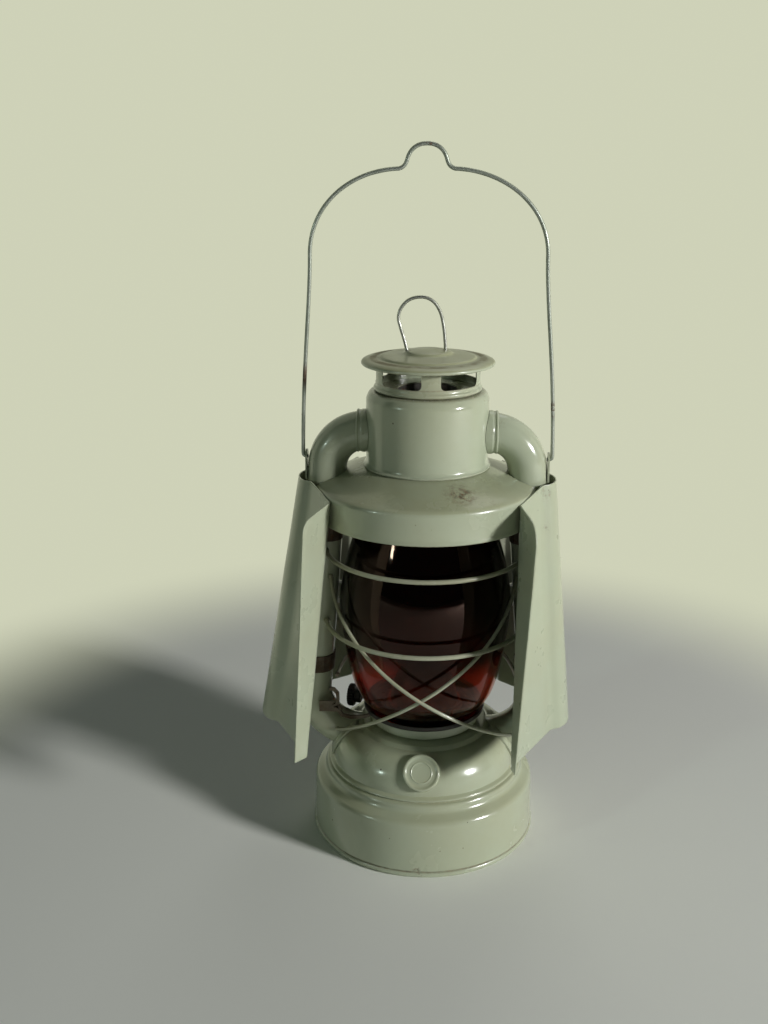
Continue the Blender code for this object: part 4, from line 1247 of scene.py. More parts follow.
@dataclass
class Globe(Assembly):
    """Red globe on its pierced plate."""

    body: str = "globe_carrier"
    plate_r: float = 42.0
    plate_z: float = 88.3
    hole_r: float = 27.0
    rim_h: float = 3.6
    holes: int = 24
    holes_r: float = 32.0
    hole_size: float = 1.7
    foot_r: float = 38.5
    foot_z: float = 89.4
    belly_r: float = 58.0
    belly_z: float = 164.0
    neck_r: float = 34.5
    top: float = 254.0
    glass: float = 2.0

    def plate(self) -> None:
        """Build the plate with its upturned rim and its air holes."""
        r, z, rim = self.plate_r, self.plate_z, self.plate_z + self.rim_h
        outer = [(r - SHEET, rim - 0.3)] + arc((r - 0.4, rim - 0.4), 0.4, 160, 10, 5) + [(r, z + 1.4)]
        outer += arc((r - 1.4, z + 1.4), 1.4, -10, -84, 5)
        inner = [(self.hole_r + 0.6, z), (self.hole_r, z + 0.2), (self.hole_r, z + SHEET),
                 (r - 1.6, z + SHEET), (r - SHEET, z + 1.6)]
        item = turned("globe_plate_pierced", outer + inner, 128)
        bm = bmesh.new()
        for hole in range(self.holes):
            turn = math.tau * (hole + 0.5) / self.holes
            spot = Matrix.Translation((self.holes_r * math.cos(turn), self.holes_r * math.sin(turn), z))
            bmesh.ops.create_cone(bm, cap_ends=True, segments=20, radius1=self.hole_size,
                                  radius2=self.hole_size, depth=6, matrix=spot)
        shape(item, piece("holes", bm))
        # The plate's near-black finish is painted shade under the globe.
        self.put(item, "globe_plate", "burner_brass", BLACKED_AND_SHADE)

    def outline(self) -> Line:
        """Draw the outer line of the glass.

        Returns:
            Its (r, z) points, from its top edge down to its foot.
        """
        foot, rise, neck = self.foot_z, self.belly_z - self.foot_z, self.top - 8
        lower = [(self.foot_r, foot), (self.foot_r, foot + 4)]
        lower += bezier(((self.foot_r, foot + 4), (self.foot_r + 9, foot + 7),
                         (self.belly_r - 4, foot + 0.36 * rise), (self.belly_r, self.belly_z)), 22)
        upper = bezier(((self.belly_r, self.belly_z), (self.belly_r + 1, self.belly_z + 24),
                        (self.neck_r + 9, neck - 14), (self.neck_r, neck)), 22)
        return (lower + upper + [(self.neck_r, self.top)])[::-1]

    def build(self) -> None:
        """Build and dress the plate and the glass."""
        self.plate()
        glass = turned("globe_glass", eased(walled(self.outline(), self.glass), 0.7, True, 30), 144)
        self.put(glass, "globe", "red_glass", RedGlass())


@dataclass
class Tubes(Assembly):
    """Bent air tubes with their collars at the chimney and their saddles on the dome."""

    dome: Dome = field(default_factory=Dome)
    radius: float = 12.8
    top_z: float = 284.6
    top_bend_x: float = 40.4
    top_bend_r: float = 24.8
    splay: float = 4.4
    foot_bend_r: float = 33.0
    foot_z: float = 66.2
    flange_r: float = 19.0
    collar_w: float = 5.6
    chimney_r: float = 39.7
    seam_turns: tuple[float, float] = (-38.0, -29.0)
    seam_h: float = 0.26

    def route(self, side: Side, fine: int = 1) -> Route:
        """Centre line from the chimney down to the tank.

        Args:
            side: Side of the lamp.
            fine: Number that multiplies the steps of the bends.

        Returns:
            The points.
        """
        lean = math.radians(self.splay)
        high_r, low_r = self.top_bend_r, self.foot_bend_r
        top = (self.top_bend_x, self.top_z - high_r)
        start = (top[0] + high_r * math.cos(lean), top[1] + high_r * math.sin(lean))
        run = (start[1] - low_r * math.sin(lean) - self.foot_z - low_r) / math.cos(lean)
        low = (start[0] + run * math.sin(lean) - low_r * math.cos(lean), self.foot_z + low_r)
        upper = arc(top, high_r, 90, self.splay, 7 * fine)
        lower = arc(low, low_r, self.splay, -90, 8 * fine)
        leg = []
        if fine > 1:
            leg = [tuple(Vector(upper[-1]).lerp(Vector(lower[0]), step / 8)) for step in range(1, 8)]
        points = [(self.chimney_r - 6, self.top_z)] + upper + leg + lower + [(low[0] - 4, self.foot_z)]
        return [Vector((side.value * x, 0, z)) for x, z in points]

    def tool(self, side: Side, gap: float = GAP) -> bpy.types.Object:
        """Solid that follows a tube with a gap all round."""
        bm = bmesh.new()
        add_sweep(bm, self.route(side, 3), lambda share, turn: self.radius + gap, round_turns(48))
        return piece("tube_tool", bm)

    def stack(self) -> bpy.types.Object:
        """Solid of the chimney, for trimming what meets it."""
        return rod("stack", self.chimney_r + GAP, 60, Matrix.Translation((0, 0, self.top_z - 30)), 160)

    def tube(self, side: Side) -> None:
        """Build a tube with the flat lock seam along it.

        Args:
            side: Side of the lamp.
        """
        low, high = self.seam_turns
        turns = [t for t in round_turns(56) if not low - 3 < (t + 180) % 360 - 180 < high + 3]
        turns += [(low - 2) % 360, (low - 0.5) % 360, (high + 0.5) % 360, (high + 2) % 360]
        turns.sort()

        def radius(share: float, turn: float) -> float:
            """Radius with the seam's height on it."""
            raised = low - 1 < (turn + 180) % 360 - 180 < high + 1
            return self.radius + (self.seam_h if raised else 0)

        route = self.route(side, 4)
        bm = bmesh.new()
        if side is Side.LEFT:
            turns = sorted((180 - t) % 360 for t in turns)
            add_sweep(bm, route, lambda share, turn: radius(share, (180 - turn) % 360), turns,
                      hollow=self.radius - SHEET)
        else:
            add_sweep(bm, route, radius, turns, hollow=self.radius - SHEET)
        item = piece(f"{side.label}_air_tube_seamed", bm, 50)
        shape(item, self.stack())
        shape(item, self.dome.solid("trim", GAP))
        x = side.value
        marks = (Mark((x * 46, -9, 292), 6, 0.35), Mark((x * 62, -4, 72), 10, 0.35),
                 Mark((x * 78, -12, 110), 8, 0.2))
        self.put(item, f"{side.label}_air_tube", "paint", Enamel(marks=marks, gloss=0.18))

    def collar(self, side: Side) -> None:
        """Build the rolled collar where a tube enters the chimney.

        Args:
            side: Side of the lamp.
        """
        r, w = self.radius + GAP, self.collar_w
        start = self.chimney_r + GAP - 4
        outline = [(r, w + 4), (r + 0.5, w + 4.0), (r + 0.95, w + 3.5), (r + 1.0, w + 2.9),
                   (r + 0.55, w + 2.3), (r + 0.5, w + 1.2), (r + 0.9, w + 0.5), (r + 1.0, w - 0.4),
                   (r + 1.0, 0), (r, 0)]
        place = Matrix.Rotation(0 if side is Side.RIGHT else math.pi, 4, "Z") @ along_x(start, 0, self.top_z)
        item = turned(f"{side.label}_collar_ring", outline, 96, True, place)
        shape(item, self.stack())
        shape(item, self.tool(side, 0.05))
        x = side.value
        rust = Enamel(marks=(Mark((x * 42, -13, 286), 6, 0.35), Mark((x * 45, -6, 297), 6, 0.45)))
        self.put(item, f"{side.label}_tube_collar", "paint", rust)

    def saddle(self, side: Side) -> None:
        """Build the saddle that a tube's foot is soldered into.

        Args:
            side: Side of the lamp.
        """
        start = 47.0 if side is Side.RIGHT else -71.0
        item = rod(f"{side.label}_foot_saddle", self.flange_r, 24, along_x(start, 0, self.foot_z), 72)
        shape(item, self.dome.solid("outer", GAP + 1.0, self.dome.foot_z + GAP), "INTERSECT")
        shape(item, self.dome.solid("inner", GAP))
        shape(item, self.tool(side))
        ease_edges(item, 0.3, 50)
        settle(item)
        x = side.value
        rust = Enamel(marks=(Mark((x * 60, -14, 60), 10, 0.45), Mark((x * 55, 12, 68), 9, 0.4)), chips=0.70)
        self.put(item, f"{side.label}_tube_foot", "paint", rust)

    def build(self) -> None:
        """Build and dress both tubes."""
        for side in Side:
            self.tube(side)
            self.collar(side)
            self.saddle(side)


@dataclass
class Top(Assembly):
    """Chimney, hood, and the flue top that lifts: bell, draft tube, vent ring, cap and its loop."""

    tubes: Tubes = field(default_factory=Tubes)
    chimney_r: float = 39.7
    chimney_top: float = 312.0
    hood_r: float = 72.6
    hood_rim: float = 230.6
    hood_edge: float = 250.6
    hood_top: float = 262.8
    flue_r: float = 20.8
    bell_r: float = 37.3
    bell_foot: float = 249.0
    bell_top: float = 268.8
    spring_r: float = 24.4
    spring_wire_r: float = 0.7
    spring_turns: int = 5
    spring_steps: int = 24
    spring_travel: float = 12.4
    vent_r: float = 33.5
    vent_top: float = 331.6
    windows: int = 5
    window_span: float = 51.5
    window_h: float = 20.0
    window_corner: float = 3.0
    post_turn: float = 4.8
    sill: float = 317.6
    cap_r: float = 42.7
    cap_top: float = 338.2
    loop_r: float = 1.1
    loop: tuple[tuple[float, float], ...] = (
        (-13.4, -5.0), (-13.5, -1.5), (-15.4, 6.0), (-18.0, 14.5), (-19.0, 19.5), (-17.6, 25.0),
        (-13.0, 30.2), (-7.5, 32.2), (-1.5, 32.0), (3.6, 29.0), (7.4, 23.0), (9.3, 15.5), (10.5, 6.0),
        (10.9, -1.0), (10.9, -5.0))

    def chimney(self) -> None:
        """Build the chimney with a port for each tube."""
        r, top, foot = self.chimney_r, self.chimney_top, self.hood_top + GAP
        shoulder = flowing([(r - 4.6, top), (r - 3.2, top - 0.25), (r - 1.9, top - 1.3),
                            (r - 1.0, top - 2.9), (r - 0.25, top - 4.8), (r, top - 7.2)], 4)
        flare = flowing([(r, foot + 4.2), (r + 0.1, foot + 3.0), (r + 0.7, foot + 1.7),
                         (r + 1.7, foot + 0.9)], 3)
        outer = [(self.flue_r + 1.2, top)] + shoulder + flare + [(r + 1.75, foot + 0.4), (r + 1.7, foot)]
        inner = [(r + 0.9, foot), (r - SHEET, foot + 2.2), (r - SHEET, top - 6.5), (r - 2.6, top - 2.2),
                 (r - 4.4, top - SHEET), (self.flue_r + 1.2, top - SHEET)]
        item = turned("chimney_stack", outer + inner, 160)
        shape(item, rod("ports", self.tubes.radius - SHEET, 120, along_x(-60, 0, self.tubes.top_z), 64))
        rust = Enamel(marks=(Mark((-16, -36, 278), 6, 0.22), Mark((-36, -14, 308), 7, 0.35),
                             Mark((37, -12, 309), 7, 0.4), Mark((39, -8, 288), 5, 0.3),
                             Mark((-14, -37, 265), 6, 0.25)),
                      seams=(Seam(311.9, 0.9, 0.35), Seam(263.4, 0.5, 0.35)), gloss=0.17)
        self.put(item, "chimney", "paint", rust)

    def hood(self) -> None:
        """Build the hood: a cone and a band with a turned rim, open where the tubes pass."""
        r, rim, edge, top = self.hood_r, self.hood_rim, self.hood_edge, self.hood_top
        shoulder = flowing([(r - 4.6, edge + 2.35), (r - 2.4, edge + 1.4), (r - 0.9, edge + 0.3),
                            (r - 0.25, edge - 1.4), (r - 0.3, edge - 3.4)], 5)
        lip = flowing([(r - 0.4, rim + 3.4), (r - 0.25, rim + 2.3), (r, rim + 1.3), (r - 0.05, rim + 0.4),
                       (r - 0.4, rim)], 3)
        outer = [(self.chimney_r + GAP - SHEET, top), (self.chimney_r + 1.4, top)] + shoulder + lip
        inner = [(r - 1.0, rim), (r - 1.2, rim + 2.5), (r - 1.1, edge - 2.2), (r - 5.2, edge + 1.3),
                 (self.chimney_r + 1.2, top - SHEET), (self.chimney_r + GAP - SHEET, top - SHEET)]
        item = turned("hood_pressing", outer + inner, 176)
        for side in Side:
            shape(item, self.tubes.tool(side))
        # The dusting on the hood's cone is partly painted shade.
        rust = Enamel(marks=(Mark((22, -51, 257), 14, 0.88), Mark((14, -57, 255), 6, 0.4),
                             Mark((43, -53, 251), 5, 0.6), Mark((-38, -50, 255), 9, 0.22),
                             Mark((62, -30, 251), 6, 0.4), Mark((44, -24, 262), 8, 0.3)),
                      seams=(Seam(230.8, 0.5, 0.3),), gloss=0.2, dust_and_shade=0.36)
        self.put(item, "hood", "paint", rust)

    def flue(self) -> None:
        """Build the bell, the draft tube and the spring round it."""
        r, foot, top = self.bell_r, self.bell_foot, self.bell_top
        outer = [(self.flue_r - 1.6, top), (r - 4.6, top)] + arc((r - 4, top - 4), 4, 82, 0, 8)
        outer += flowing([(r, foot + 6), (r + 0.3, foot + 3.6), (r + 1.1, foot + 1.3),
                          (r + 1.9, foot + 0.1)], 4)
        bell = turned("globe_bell_spun", walled(outer, SHEET), 112)
        self.put(bell, "globe_bell", "bare_wire", SOOTY, "flue_top")
        low = top + GAP
        bore, wide, high = self.flue_r - SHEET, self.flue_r, self.chimney_top
        outline = [(bore, high), (wide, high), (wide, low), (bore, low)]
        tube = turned("draft_tube_rolled", eased(outline, 0.25), 96)
        self.put(tube, "draft_tube", "bare_wire", SOOTY, "flue_top")
        self.spring(low)

    def spring(self, low: float) -> None:
        """Build the spring, which the bell presses against the chimney's top as it lifts.

        Args:
            low: Height of the bell's top face, which the spring's foot stands on.
        """
        r, wire_r, seat = self.spring_r, self.spring_wire_r, self.chimney_top - SHEET - GAP
        start, end = low + wire_r, seat - wire_r
        count = self.spring_turns * self.spring_steps
        route = []
        for step in range(count + 1):
            turn = math.tau * step / self.spring_steps
            route.append((r * math.cos(turn), r * math.sin(turn), start + (end - start) * step / count))
        coil = wire("top_spring_coil", route, wire_r, 10)
        self.put(coil, "top_spring", "bare_wire", STEEL, "flue_top")
        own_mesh(coil)

    def vent(self) -> None:
        """Build the vent ring with its round-cornered windows."""
        r, low, top = self.vent_r, self.chimney_top + GAP, self.vent_top
        foot = flowing([(r, low + 4.4), (r + 0.25, low + 3.3), (r + 1.1, low + 2.5), (r + 1.2, low + 1.5),
                        (r + 0.9, low + 0.7), (r - 0.1, low)], 3)
        outline = [(r, top)] + foot + [(self.flue_r - 1.6, low), (self.flue_r - 1.6, low + SHEET),
                                       (r - SHEET, low + SHEET), (r - SHEET, top)]
        item = turned("vent_ring_cage", outline, 160)
        half = r * math.sin(math.radians(self.window_span / 2))
        corner, high = self.window_corner, self.window_h
        line = [(-half, high)] + arc((corner - half, corner), corner, 180, 270, 8)
        line += arc((half - corner, corner), corner, 270, 360, 8) + [(half, high)]
        upright = Matrix.Rotation(math.radians(90), 4, "Z") @ Matrix.Rotation(math.radians(90), 4, "X")
        for index in range(self.windows):
            middle = math.radians(-90 + self.post_turn + (index + 0.5) * 360 / self.windows)
            place = (Matrix.Rotation(middle, 4, "Z") @ Matrix.Translation((self.flue_r + 4, 0, self.sill))
                     @ upright)
            bm = bmesh.new()
            near = [bm.verts.new(place @ Vector((x, z, 0))) for x, z in line]
            far = [bm.verts.new(place @ Vector((x, z, 30))) for x, z in line]
            bm.faces.new(near)
            bm.faces.new(far[::-1])
            for step in range(len(line)):
                after = (step + 1) % len(line)
                bm.faces.new((near[step], near[after], far[after], far[step]))
            shape(item, piece("window", bm))
        rust = Enamel(marks=(Mark((10, -32, 322), 7, 0.25), Mark((-8, -32, 330), 7, 0.3)),
                      seams=(Seam(self.sill, 0.8, 0.35), Seam(low + 0.4, 0.7, 0.5)),
                      warm=(0.40, 0.41, 0.28), chips=0.68)
        self.put(item, "vent_ring", "paint", rust, "flue_top")

    def cap(self) -> None:
        """Build the stepped lid with its rolled rim, and the wire loop through its crown."""
        r, top = self.cap_r, self.cap_top
        crown = flowing([(0, top), (4, top - 0.05), (8, top - 0.3), (12, top - 0.8), (14.4, top - 1.5),
                         (15.8, top - 2.6), (17.4, top - 3.05), (23, top - 3.55), (28.6, top - 4.1),
                         (30.0, top - 4.5), (31.0, top - 5.3), (32.2, top - 5.45), (35, top - 5.5),
                         (r - 3.6, top - 6.0), (r - 1.7, top - 6.55), (r - 0.5, top - 7.2), (r, top - 8.2),
                         (r - 0.4, top - 9.15), (r - 1.4, top - 9.5), (r - 2.3, top - 9.1),
                         (r - 2.6, top - 8.3)], 3)
        under = [(r - 3.2, top - 7.1), (34.3, top - 6.3), (31.1, top - 6.2), (29.1, top - 5.0),
                 (17.0, top - 4.0), (15.2, top - 3.5), (13.5, top - 2.2), (8, top - 1.2), (0, top - 0.9)]
        item = turned("cap_lid", crown + under, 176, False)
        bm = bmesh.new()
        hole_r = self.loop_r + GAP
        for x, _ in (self.loop[0], self.loop[-1]):
            bmesh.ops.create_cone(bm, cap_ends=True, segments=24, radius1=hole_r, radius2=hole_r, depth=16,
                                  matrix=Matrix.Translation((x, 0, top)))
        shape(item, piece("loop_holes", bm))
        # The dusting on the lid's top is partly painted shade.
        rust = Enamel(marks=(Mark((-13, -2, 337), 5, 0.8), Mark((11, -2, 337), 5, 0.7),
                             Mark((0, -15, 336), 5, 0.35), Mark((-4, 0, 338), 6, 0.45),
                             Mark((36, -20, 331), 7, 0.35), Mark((-38, -12, 331), 7, 0.3)),
                      seams=(Seam(top - 9.3, 0.5, 0.35),), groove=Groove(35.2, 4.2, 0.8), gloss=0.26,
                      chips=0.72, dust_and_shade=0.6)
        self.put(item, "cap_plate", "paint", rust, "flue_top")
        route = flowing([(x, 0.0, top + rise) for x, rise in self.loop], 5)
        loop = wire("cap_loop_wire", route, self.loop_r, 16)
        self.put(loop, "cap_loop", "bare_wire", LOOP_WIRE, "flue_top")

    def build(self) -> None:
        """Build and dress the top of the lamp."""
        self.chimney()
        self.hood()
        self.flue()
        self.vent()
        self.cap()


@dataclass
class Bail(Assembly):
    """Wire bail with the hump in its middle, and the ears it turns in."""

    body: str = "bail_wire"
    pivot_z: float = 267.0
    reach: float = 81.1
    radius: float = 1.3
    top_z: float = 461.8
    shoulder_z: float = 395.0
    lean: float = -2.0
    knee_right: float = 72.8
    knee_left: float = 74.3

    def half(self, side: Side) -> list[tuple[float, float, float]]:
        """Draw half of the centre line.

        Args:
            side: Side of the lamp.

        Returns:
            The points from the middle of the hump down to the hook.
        """
        lean, top, pivot = side.value * self.lean, self.top_z, self.pivot_z
        knee = (self.knee_right if side is Side.RIGHT else self.knee_left, self.shoulder_z)
        foot = (17.0 + lean, top - 14.5)
        turn = (12.0 + lean, top - 9)
        points = [(lean, top)]
        points += bezier(((lean, top), (6.5 + lean, top), (10.5 + lean, top - 3.5), turn), 12)
        points += bezier((turn, (12.8 + lean, top - 12), (14.0 + lean, top - 13.6), foot), 9)
        points += bezier((foot, (foot[0] + 30, foot[1] - 1), (knee[0] + 0.2, knee[1] + 31), knee), 32)
        points += bezier((knee, (knee[0] + 0.5, knee[1] - 30), (self.reach - 1, pivot + 60),
                          (self.reach, pivot + 6)), 14)
        hook = flowing([(self.reach, pivot + 6), (self.reach, pivot + 1.7), (self.reach - 0.5, pivot + 0.5),
                        (self.reach - 1.5, pivot), (self.reach - 3.1, pivot)], 3)
        return [(side.value * x, 0.0, z) for x, z in points + hook[1:]]

    def build(self) -> None:
        """Build and dress the bail, and dress its ears."""
        left, right = self.half(Side.LEFT), self.half(Side.RIGHT)
        item = wire("bail_wire_bent", left[:0:-1] + right, self.radius, 16)
        self.put(item, "bail", "bare_wire", ZINC)
        for side in Side:
            self.dress(f"{side.label}_bail_ear", Enamel(chips=0.68), 0.2)


@dataclass
class Guard(Assembly):
    """Wire guard at the front and at the rear: two hoops and two crossed wires, soldered to the tubes."""

    tubes: Tubes = field(default_factory=Tubes)
    radius: float = 1.3
    hoop_wire: float = 1.5
    cross_wire: float = 1.2
    hoop_r: float = 67.0
    upper_z: float = 205.6
    lower_z: float = 154.5
    outer_r: float = 64.0
    inner_r: float = 61.1
    middle_z: dict[Face, float] = field(default_factory=lambda: {Face.FRONT: 121.5, Face.REAR: 134.0})
    rise: dict[Face, float] = field(default_factory=lambda: {Face.FRONT: 0.72, Face.REAR: 0.42})
    curve: float = 0.0013
    step: float = 11.0
    reach_from: float = 60.0
    reach_to: float = 88.0
    pace: float = 0.1
    steps: int = 56
    solder: float = 0.45
    sway: float = 0.25

    def crossed(self, face: Face, way: int) -> Callable[[float], float]:
        """Height of a crossed wire by its angle, falling to +X at way 1 and rising at -1."""
        middle, rise = self.middle_z[face], way * self.rise[face]
        return lambda angle: middle - rise * angle + self.curve * angle * angle

    def spot(self, radius: float, angle: float, height: Callable[[float], float]) -> Vector:
        """Point of a guard wire at an angle from the front."""
        turn = math.radians(angle)
        return Vector((radius * math.sin(turn), -radius * math.cos(turn), height(angle)))

    def reach(self, radius: float, height: Callable[[float], float]) -> float:
        """Angle at which a wire's end just clears the right tube.

        Args:
            radius: Radius that the wire runs at.
            height: Its height by angle.

        Returns:
            The angle from the front in degrees.
        """
        route = self.tubes.route(Side.RIGHT)
        angle = self.reach_from
        while angle < self.reach_to:
            spot = self.spot(radius, angle, height)
            ahead = (spot - self.spot(radius, angle - self.step, height)).normalized()
            across = ahead.orthogonal().normalized() * self.radius
            for turn in range(8):
                point = spot + Matrix.Rotation(math.radians(45 * turn), 3, ahead) @ across
                for first, second in zip(route, route[1:]):
                    leg = second - first
                    share = min(max((point - first).dot(leg) / leg.length_squared, 0), 1)
                    if (point - first - leg * share).length < self.tubes.radius + GAP:
                        return angle - self.pace
            angle += self.pace
        return angle - self.pace

    def strand(self, name: str, radius: float, height: Callable[[float], float], face: Face,
               wire_r: float) -> None:
        """Build one wire with a bead of solder at each end.

        Args:
            name: Name of its CAD node.
            radius: Radius that it runs at.
            height: Its height by angle.
            face: Half of the guard.
            wire_r: Radius of the wire itself.
        """
        left = -self.reach(radius, lambda angle: height(-angle))
        right = self.reach(radius, height)
        points = [self.spot(radius, left + (right - left) * step / self.steps, height)
                  for step in range(self.steps + 1)]
        bm = bmesh.new()
        wave = noise.noise_vector(Vector((radius, height(20), face.value * 3.0)))

        def thick(share: float, turn: float) -> float:
            """Radius of the wire, swelling into the solder at its ends."""
            end = min(share, 1 - share) * self.steps
            return wire_r * (1 + self.solder * max(0.0, 1 - end / 1.3) ** 0.7)

        route = [Vector((p.x, face.value * p.y, p.z + self.sway * wave.x * math.sin(index / 9)))
                 for index, p in enumerate(points)]
        add_sweep(bm, route, thick, round_turns(14))
        item = piece(f"{name}_wire", bm, 45)
        beads = tuple(Mark((end.x, face.value * end.y, end.z), 4, 1.0) for end in (points[0], points[-1]))
        finish = Enamel(base=(0.40, 0.41, 0.30), warm=(0.34, 0.34, 0.23), gloss=0.22, chips=0.70,
                        marks=beads, rust=(0.56, 0.48, 0.40), dark_rust=(0.20, 0.15, 0.11))
        self.put(item, name, "paint", finish)

    def build(self) -> None:
        """Build and dress both halves of the guard."""
        for face in Face:
            name, hoop, cross = f"{face.label}_guard", self.hoop_wire, self.cross_wire
            self.strand(f"{name}_upper", self.hoop_r, lambda angle: self.upper_z, face, hoop)
            self.strand(f"{name}_lower", self.hoop_r, lambda angle: self.lower_z, face, hoop)
            self.strand(f"{name}_falling", self.outer_r, self.crossed(face, 1), face, cross)
            self.strand(f"{name}_rising", self.inner_r, self.crossed(face, -1), face, cross)


@dataclass(frozen=True)
class Wing:
    """Wing of a side screen with the lip at its edge. Each pair gives the top's value and the foot's."""

    turn: tuple[float, float]
    width: tuple[float, float]
    lip_turn: tuple[float, float]
    lip: tuple[float, float]

    def crease(self, start: tuple[float, float], low: bool) -> tuple[float, float]:
        """Plan of the crease between the wing, which starts at the wrap, and the lip."""
        turn = math.radians(self.turn[low])
        return start[0] - self.width[low] * math.sin(turn), start[1] - self.width[low] * math.cos(turn)

    def tip(self, start: tuple[float, float], low: bool) -> tuple[float, float]:
        """Plan of the lip's free edge."""
        turn = math.radians(self.lip_turn[low])
        crease = self.crease(start, low)
        return crease[0] + self.lip[low] * math.sin(turn), crease[1] - self.lip[low] * math.cos(turn)


@dataclass
class Screen(Assembly):
    """Folded side screen: a wrap outside the tube, and a wing with a creased lip to front and rear."""

    side: Side = Side.RIGHT
    foot_z: float = 83.0
    top_z: float = 254.0
    top_x: float = 84.5
    top_groove: float = 9.3
    foot_groove: float = 13.5
    top_half: float = 15.5
    foot_half: float = 21.8
    spread: float = 16.6
    wing_top_z: float = 249.0
    lip_drop: float = 4.0
    corner_r: float = 14.0
    fold: float = 60.0
    front: Wing = Wing((29.0, 29.0), (32.0, 61.0), (15.0, 16.0), (34.5, 8.3))
    rear: Wing = Wing((27.5, 49.6), (38.3, 43.5), (-10.0, -8.0), (34.5, 8.0))
    rows: int = 60
    inset: float = 0.12
    sway: float = 0.32
    sway_most: float = 0.2
    tuck: float = 0.9985
    finish: Enamel = field(default_factory=Enamel)

    def wrap(self, low: bool) -> Line:
        """Draw the plan of the wrap round the tube.

        Args:
            low: Whether at its foot, not at its top.

        Returns:
            The (x, y) points from its front end to its rear one.
        """
        outer = self.top_x + (self.spread if low else 0)
        half = self.foot_half if low else self.top_half
        depth = self.foot_groove if low else self.top_groove
        return [(outer - depth + depth * math.cos(a), half * math.sin(a))
                for a in (math.radians(-90 + 10 * step) for step in range(19))]

    def edge(self, apex: Vector, corner: Vector, tip: Vector) -> list[Vector]:
        """Free edge of the lip from the crease's top to its foot, with its rounded corner.

        Args:
            apex: Top of the crease.
            corner: Corner of the lip before rounding.
            tip: Foot of the free edge.

        Returns:
            One point for each row.
        """
        above = corner + (apex - corner).normalized() * self.corner_r
        below = corner + (tip - corner).normalized() * self.corner_r
        turn = (above, above.lerp(corner, 0.6), below.lerp(corner, 0.6), below)
        bend = [Vector(p) for p in bezier(turn, 9)]
        head = [apex.lerp(above, step / 5) for step in range(5)] + [above] + bend
        rest = self.rows - len(head)
        return head + [below.lerp(tip, step / rest) for step in range(1, rest + 1)]

    def drop(self, top: Vector, low: Vector) -> Route:
        """One point for each row from the sheet's top edge to its foot, closer together near the top."""
        return [top.lerp(low, (row / (self.rows - 1)) ** 1.15) for row in range(self.rows)]

    def flank(self, wing: Wing) -> list[Route]:
        """Draw a wing and its lip, as at the front.

        Args:
            wing: The wing.

        Returns:
            Columns of points from the free edge to the wrap.
        """
        top, low = self.wrap(False)[0], self.wrap(True)[0]
        apex = Vector((*wing.crease(top, False), self.wing_top_z))
        crease = self.drop(apex, Vector((*wing.crease(low, True), self.foot_z)))
        free = self.edge(apex, Vector((*wing.tip(top, False), self.wing_top_z - self.lip_drop)),
                         Vector((*wing.tip(low, True), self.foot_z)))
        bend = self.drop(Vector((*top, self.top_z)), Vector((*low, self.foot_z)))
        columns = [[a.lerp(b, share) for a, b in zip(free, crease)]
                   for share in (0.0, 0.2, 0.4, 0.6, 0.8, 0.94)]
        columns += [[a.lerp(b, share) for a, b in zip(crease, bend)]
                    for share in (0.012, 0.03, 0.2, 0.4, 0.6, 0.8, 0.97)]
        return columns

    def build(self) -> None:
        """Build and dress the screen."""
        bm = bmesh.new()
        columns = self.flank(self.front)
        for top, low in list(zip(self.wrap(False), self.wrap(True)))[1:-1]:
            columns.append(self.drop(Vector((*top, self.top_z)), Vector((*low, self.foot_z))))
        for column in self.flank(self.rear)[::-1]:
            columns.append([Vector((p.x, -p.y, p.z)) for p in column])
        grid = []
        for number, column in enumerate(columns):
            line = []
            for point in column:
                sway = noise.noise_vector(Vector((number * 0.09, point.z * 0.022, self.side.value * 5.0)))
                out = self.sway * min(sway.x, self.sway_most) - self.inset
                line.append(bm.verts.new((self.side.value * (point.x + out),
                                          point.y * (self.tuck - 0.001 * abs(sway.y)), point.z)))
            grid.append(line)
        for first, second in zip(grid, grid[1:]):
            for row in range(self.rows - 1):
                bm.faces.new((first[row], first[row + 1], second[row + 1], second[row]))
        bmesh.ops.remove_doubles(bm, verts=bm.verts, dist=0.01)
        item = piece(f"{self.side.label}_screen_sheet", bm, self.fold)
        sheet = item.modifiers.new("Sheet", "SOLIDIFY")
        sheet.thickness = SHEET * MM
        sheet.offset = -1
        sheet.use_even_offset = True
        settle(item, self.fold)
        ease_edges(item, 0.22, self.fold)
        settle(item, self.fold)
        self.put(item, f"{self.side.label}_shield", "paint", self.finish)
        for level in ("upper", "lower"):
            self.dress(f"{self.side.label}_{level}_clip", RUSTED, 0.15)


class Lever(Assembly):
    """Bent lever that lifts the globe, and its bracket."""

    def build(self) -> None:
        """Dress the lever and its bracket."""
        self.dress("lift_lever", RUSTED, 0.3)
        self.dress("lever_bracket", RUSTED, 0.2)


# The room

@dataclass(frozen=True)
class Light:
    """Soft square light that faces the lamp, placed by its degrees from the front and above the middle."""

    name: str
    power: float
    size: float
    azimuth: float
    elevation: float
    colour: Colour = (1.0, 1.0, 1.0)


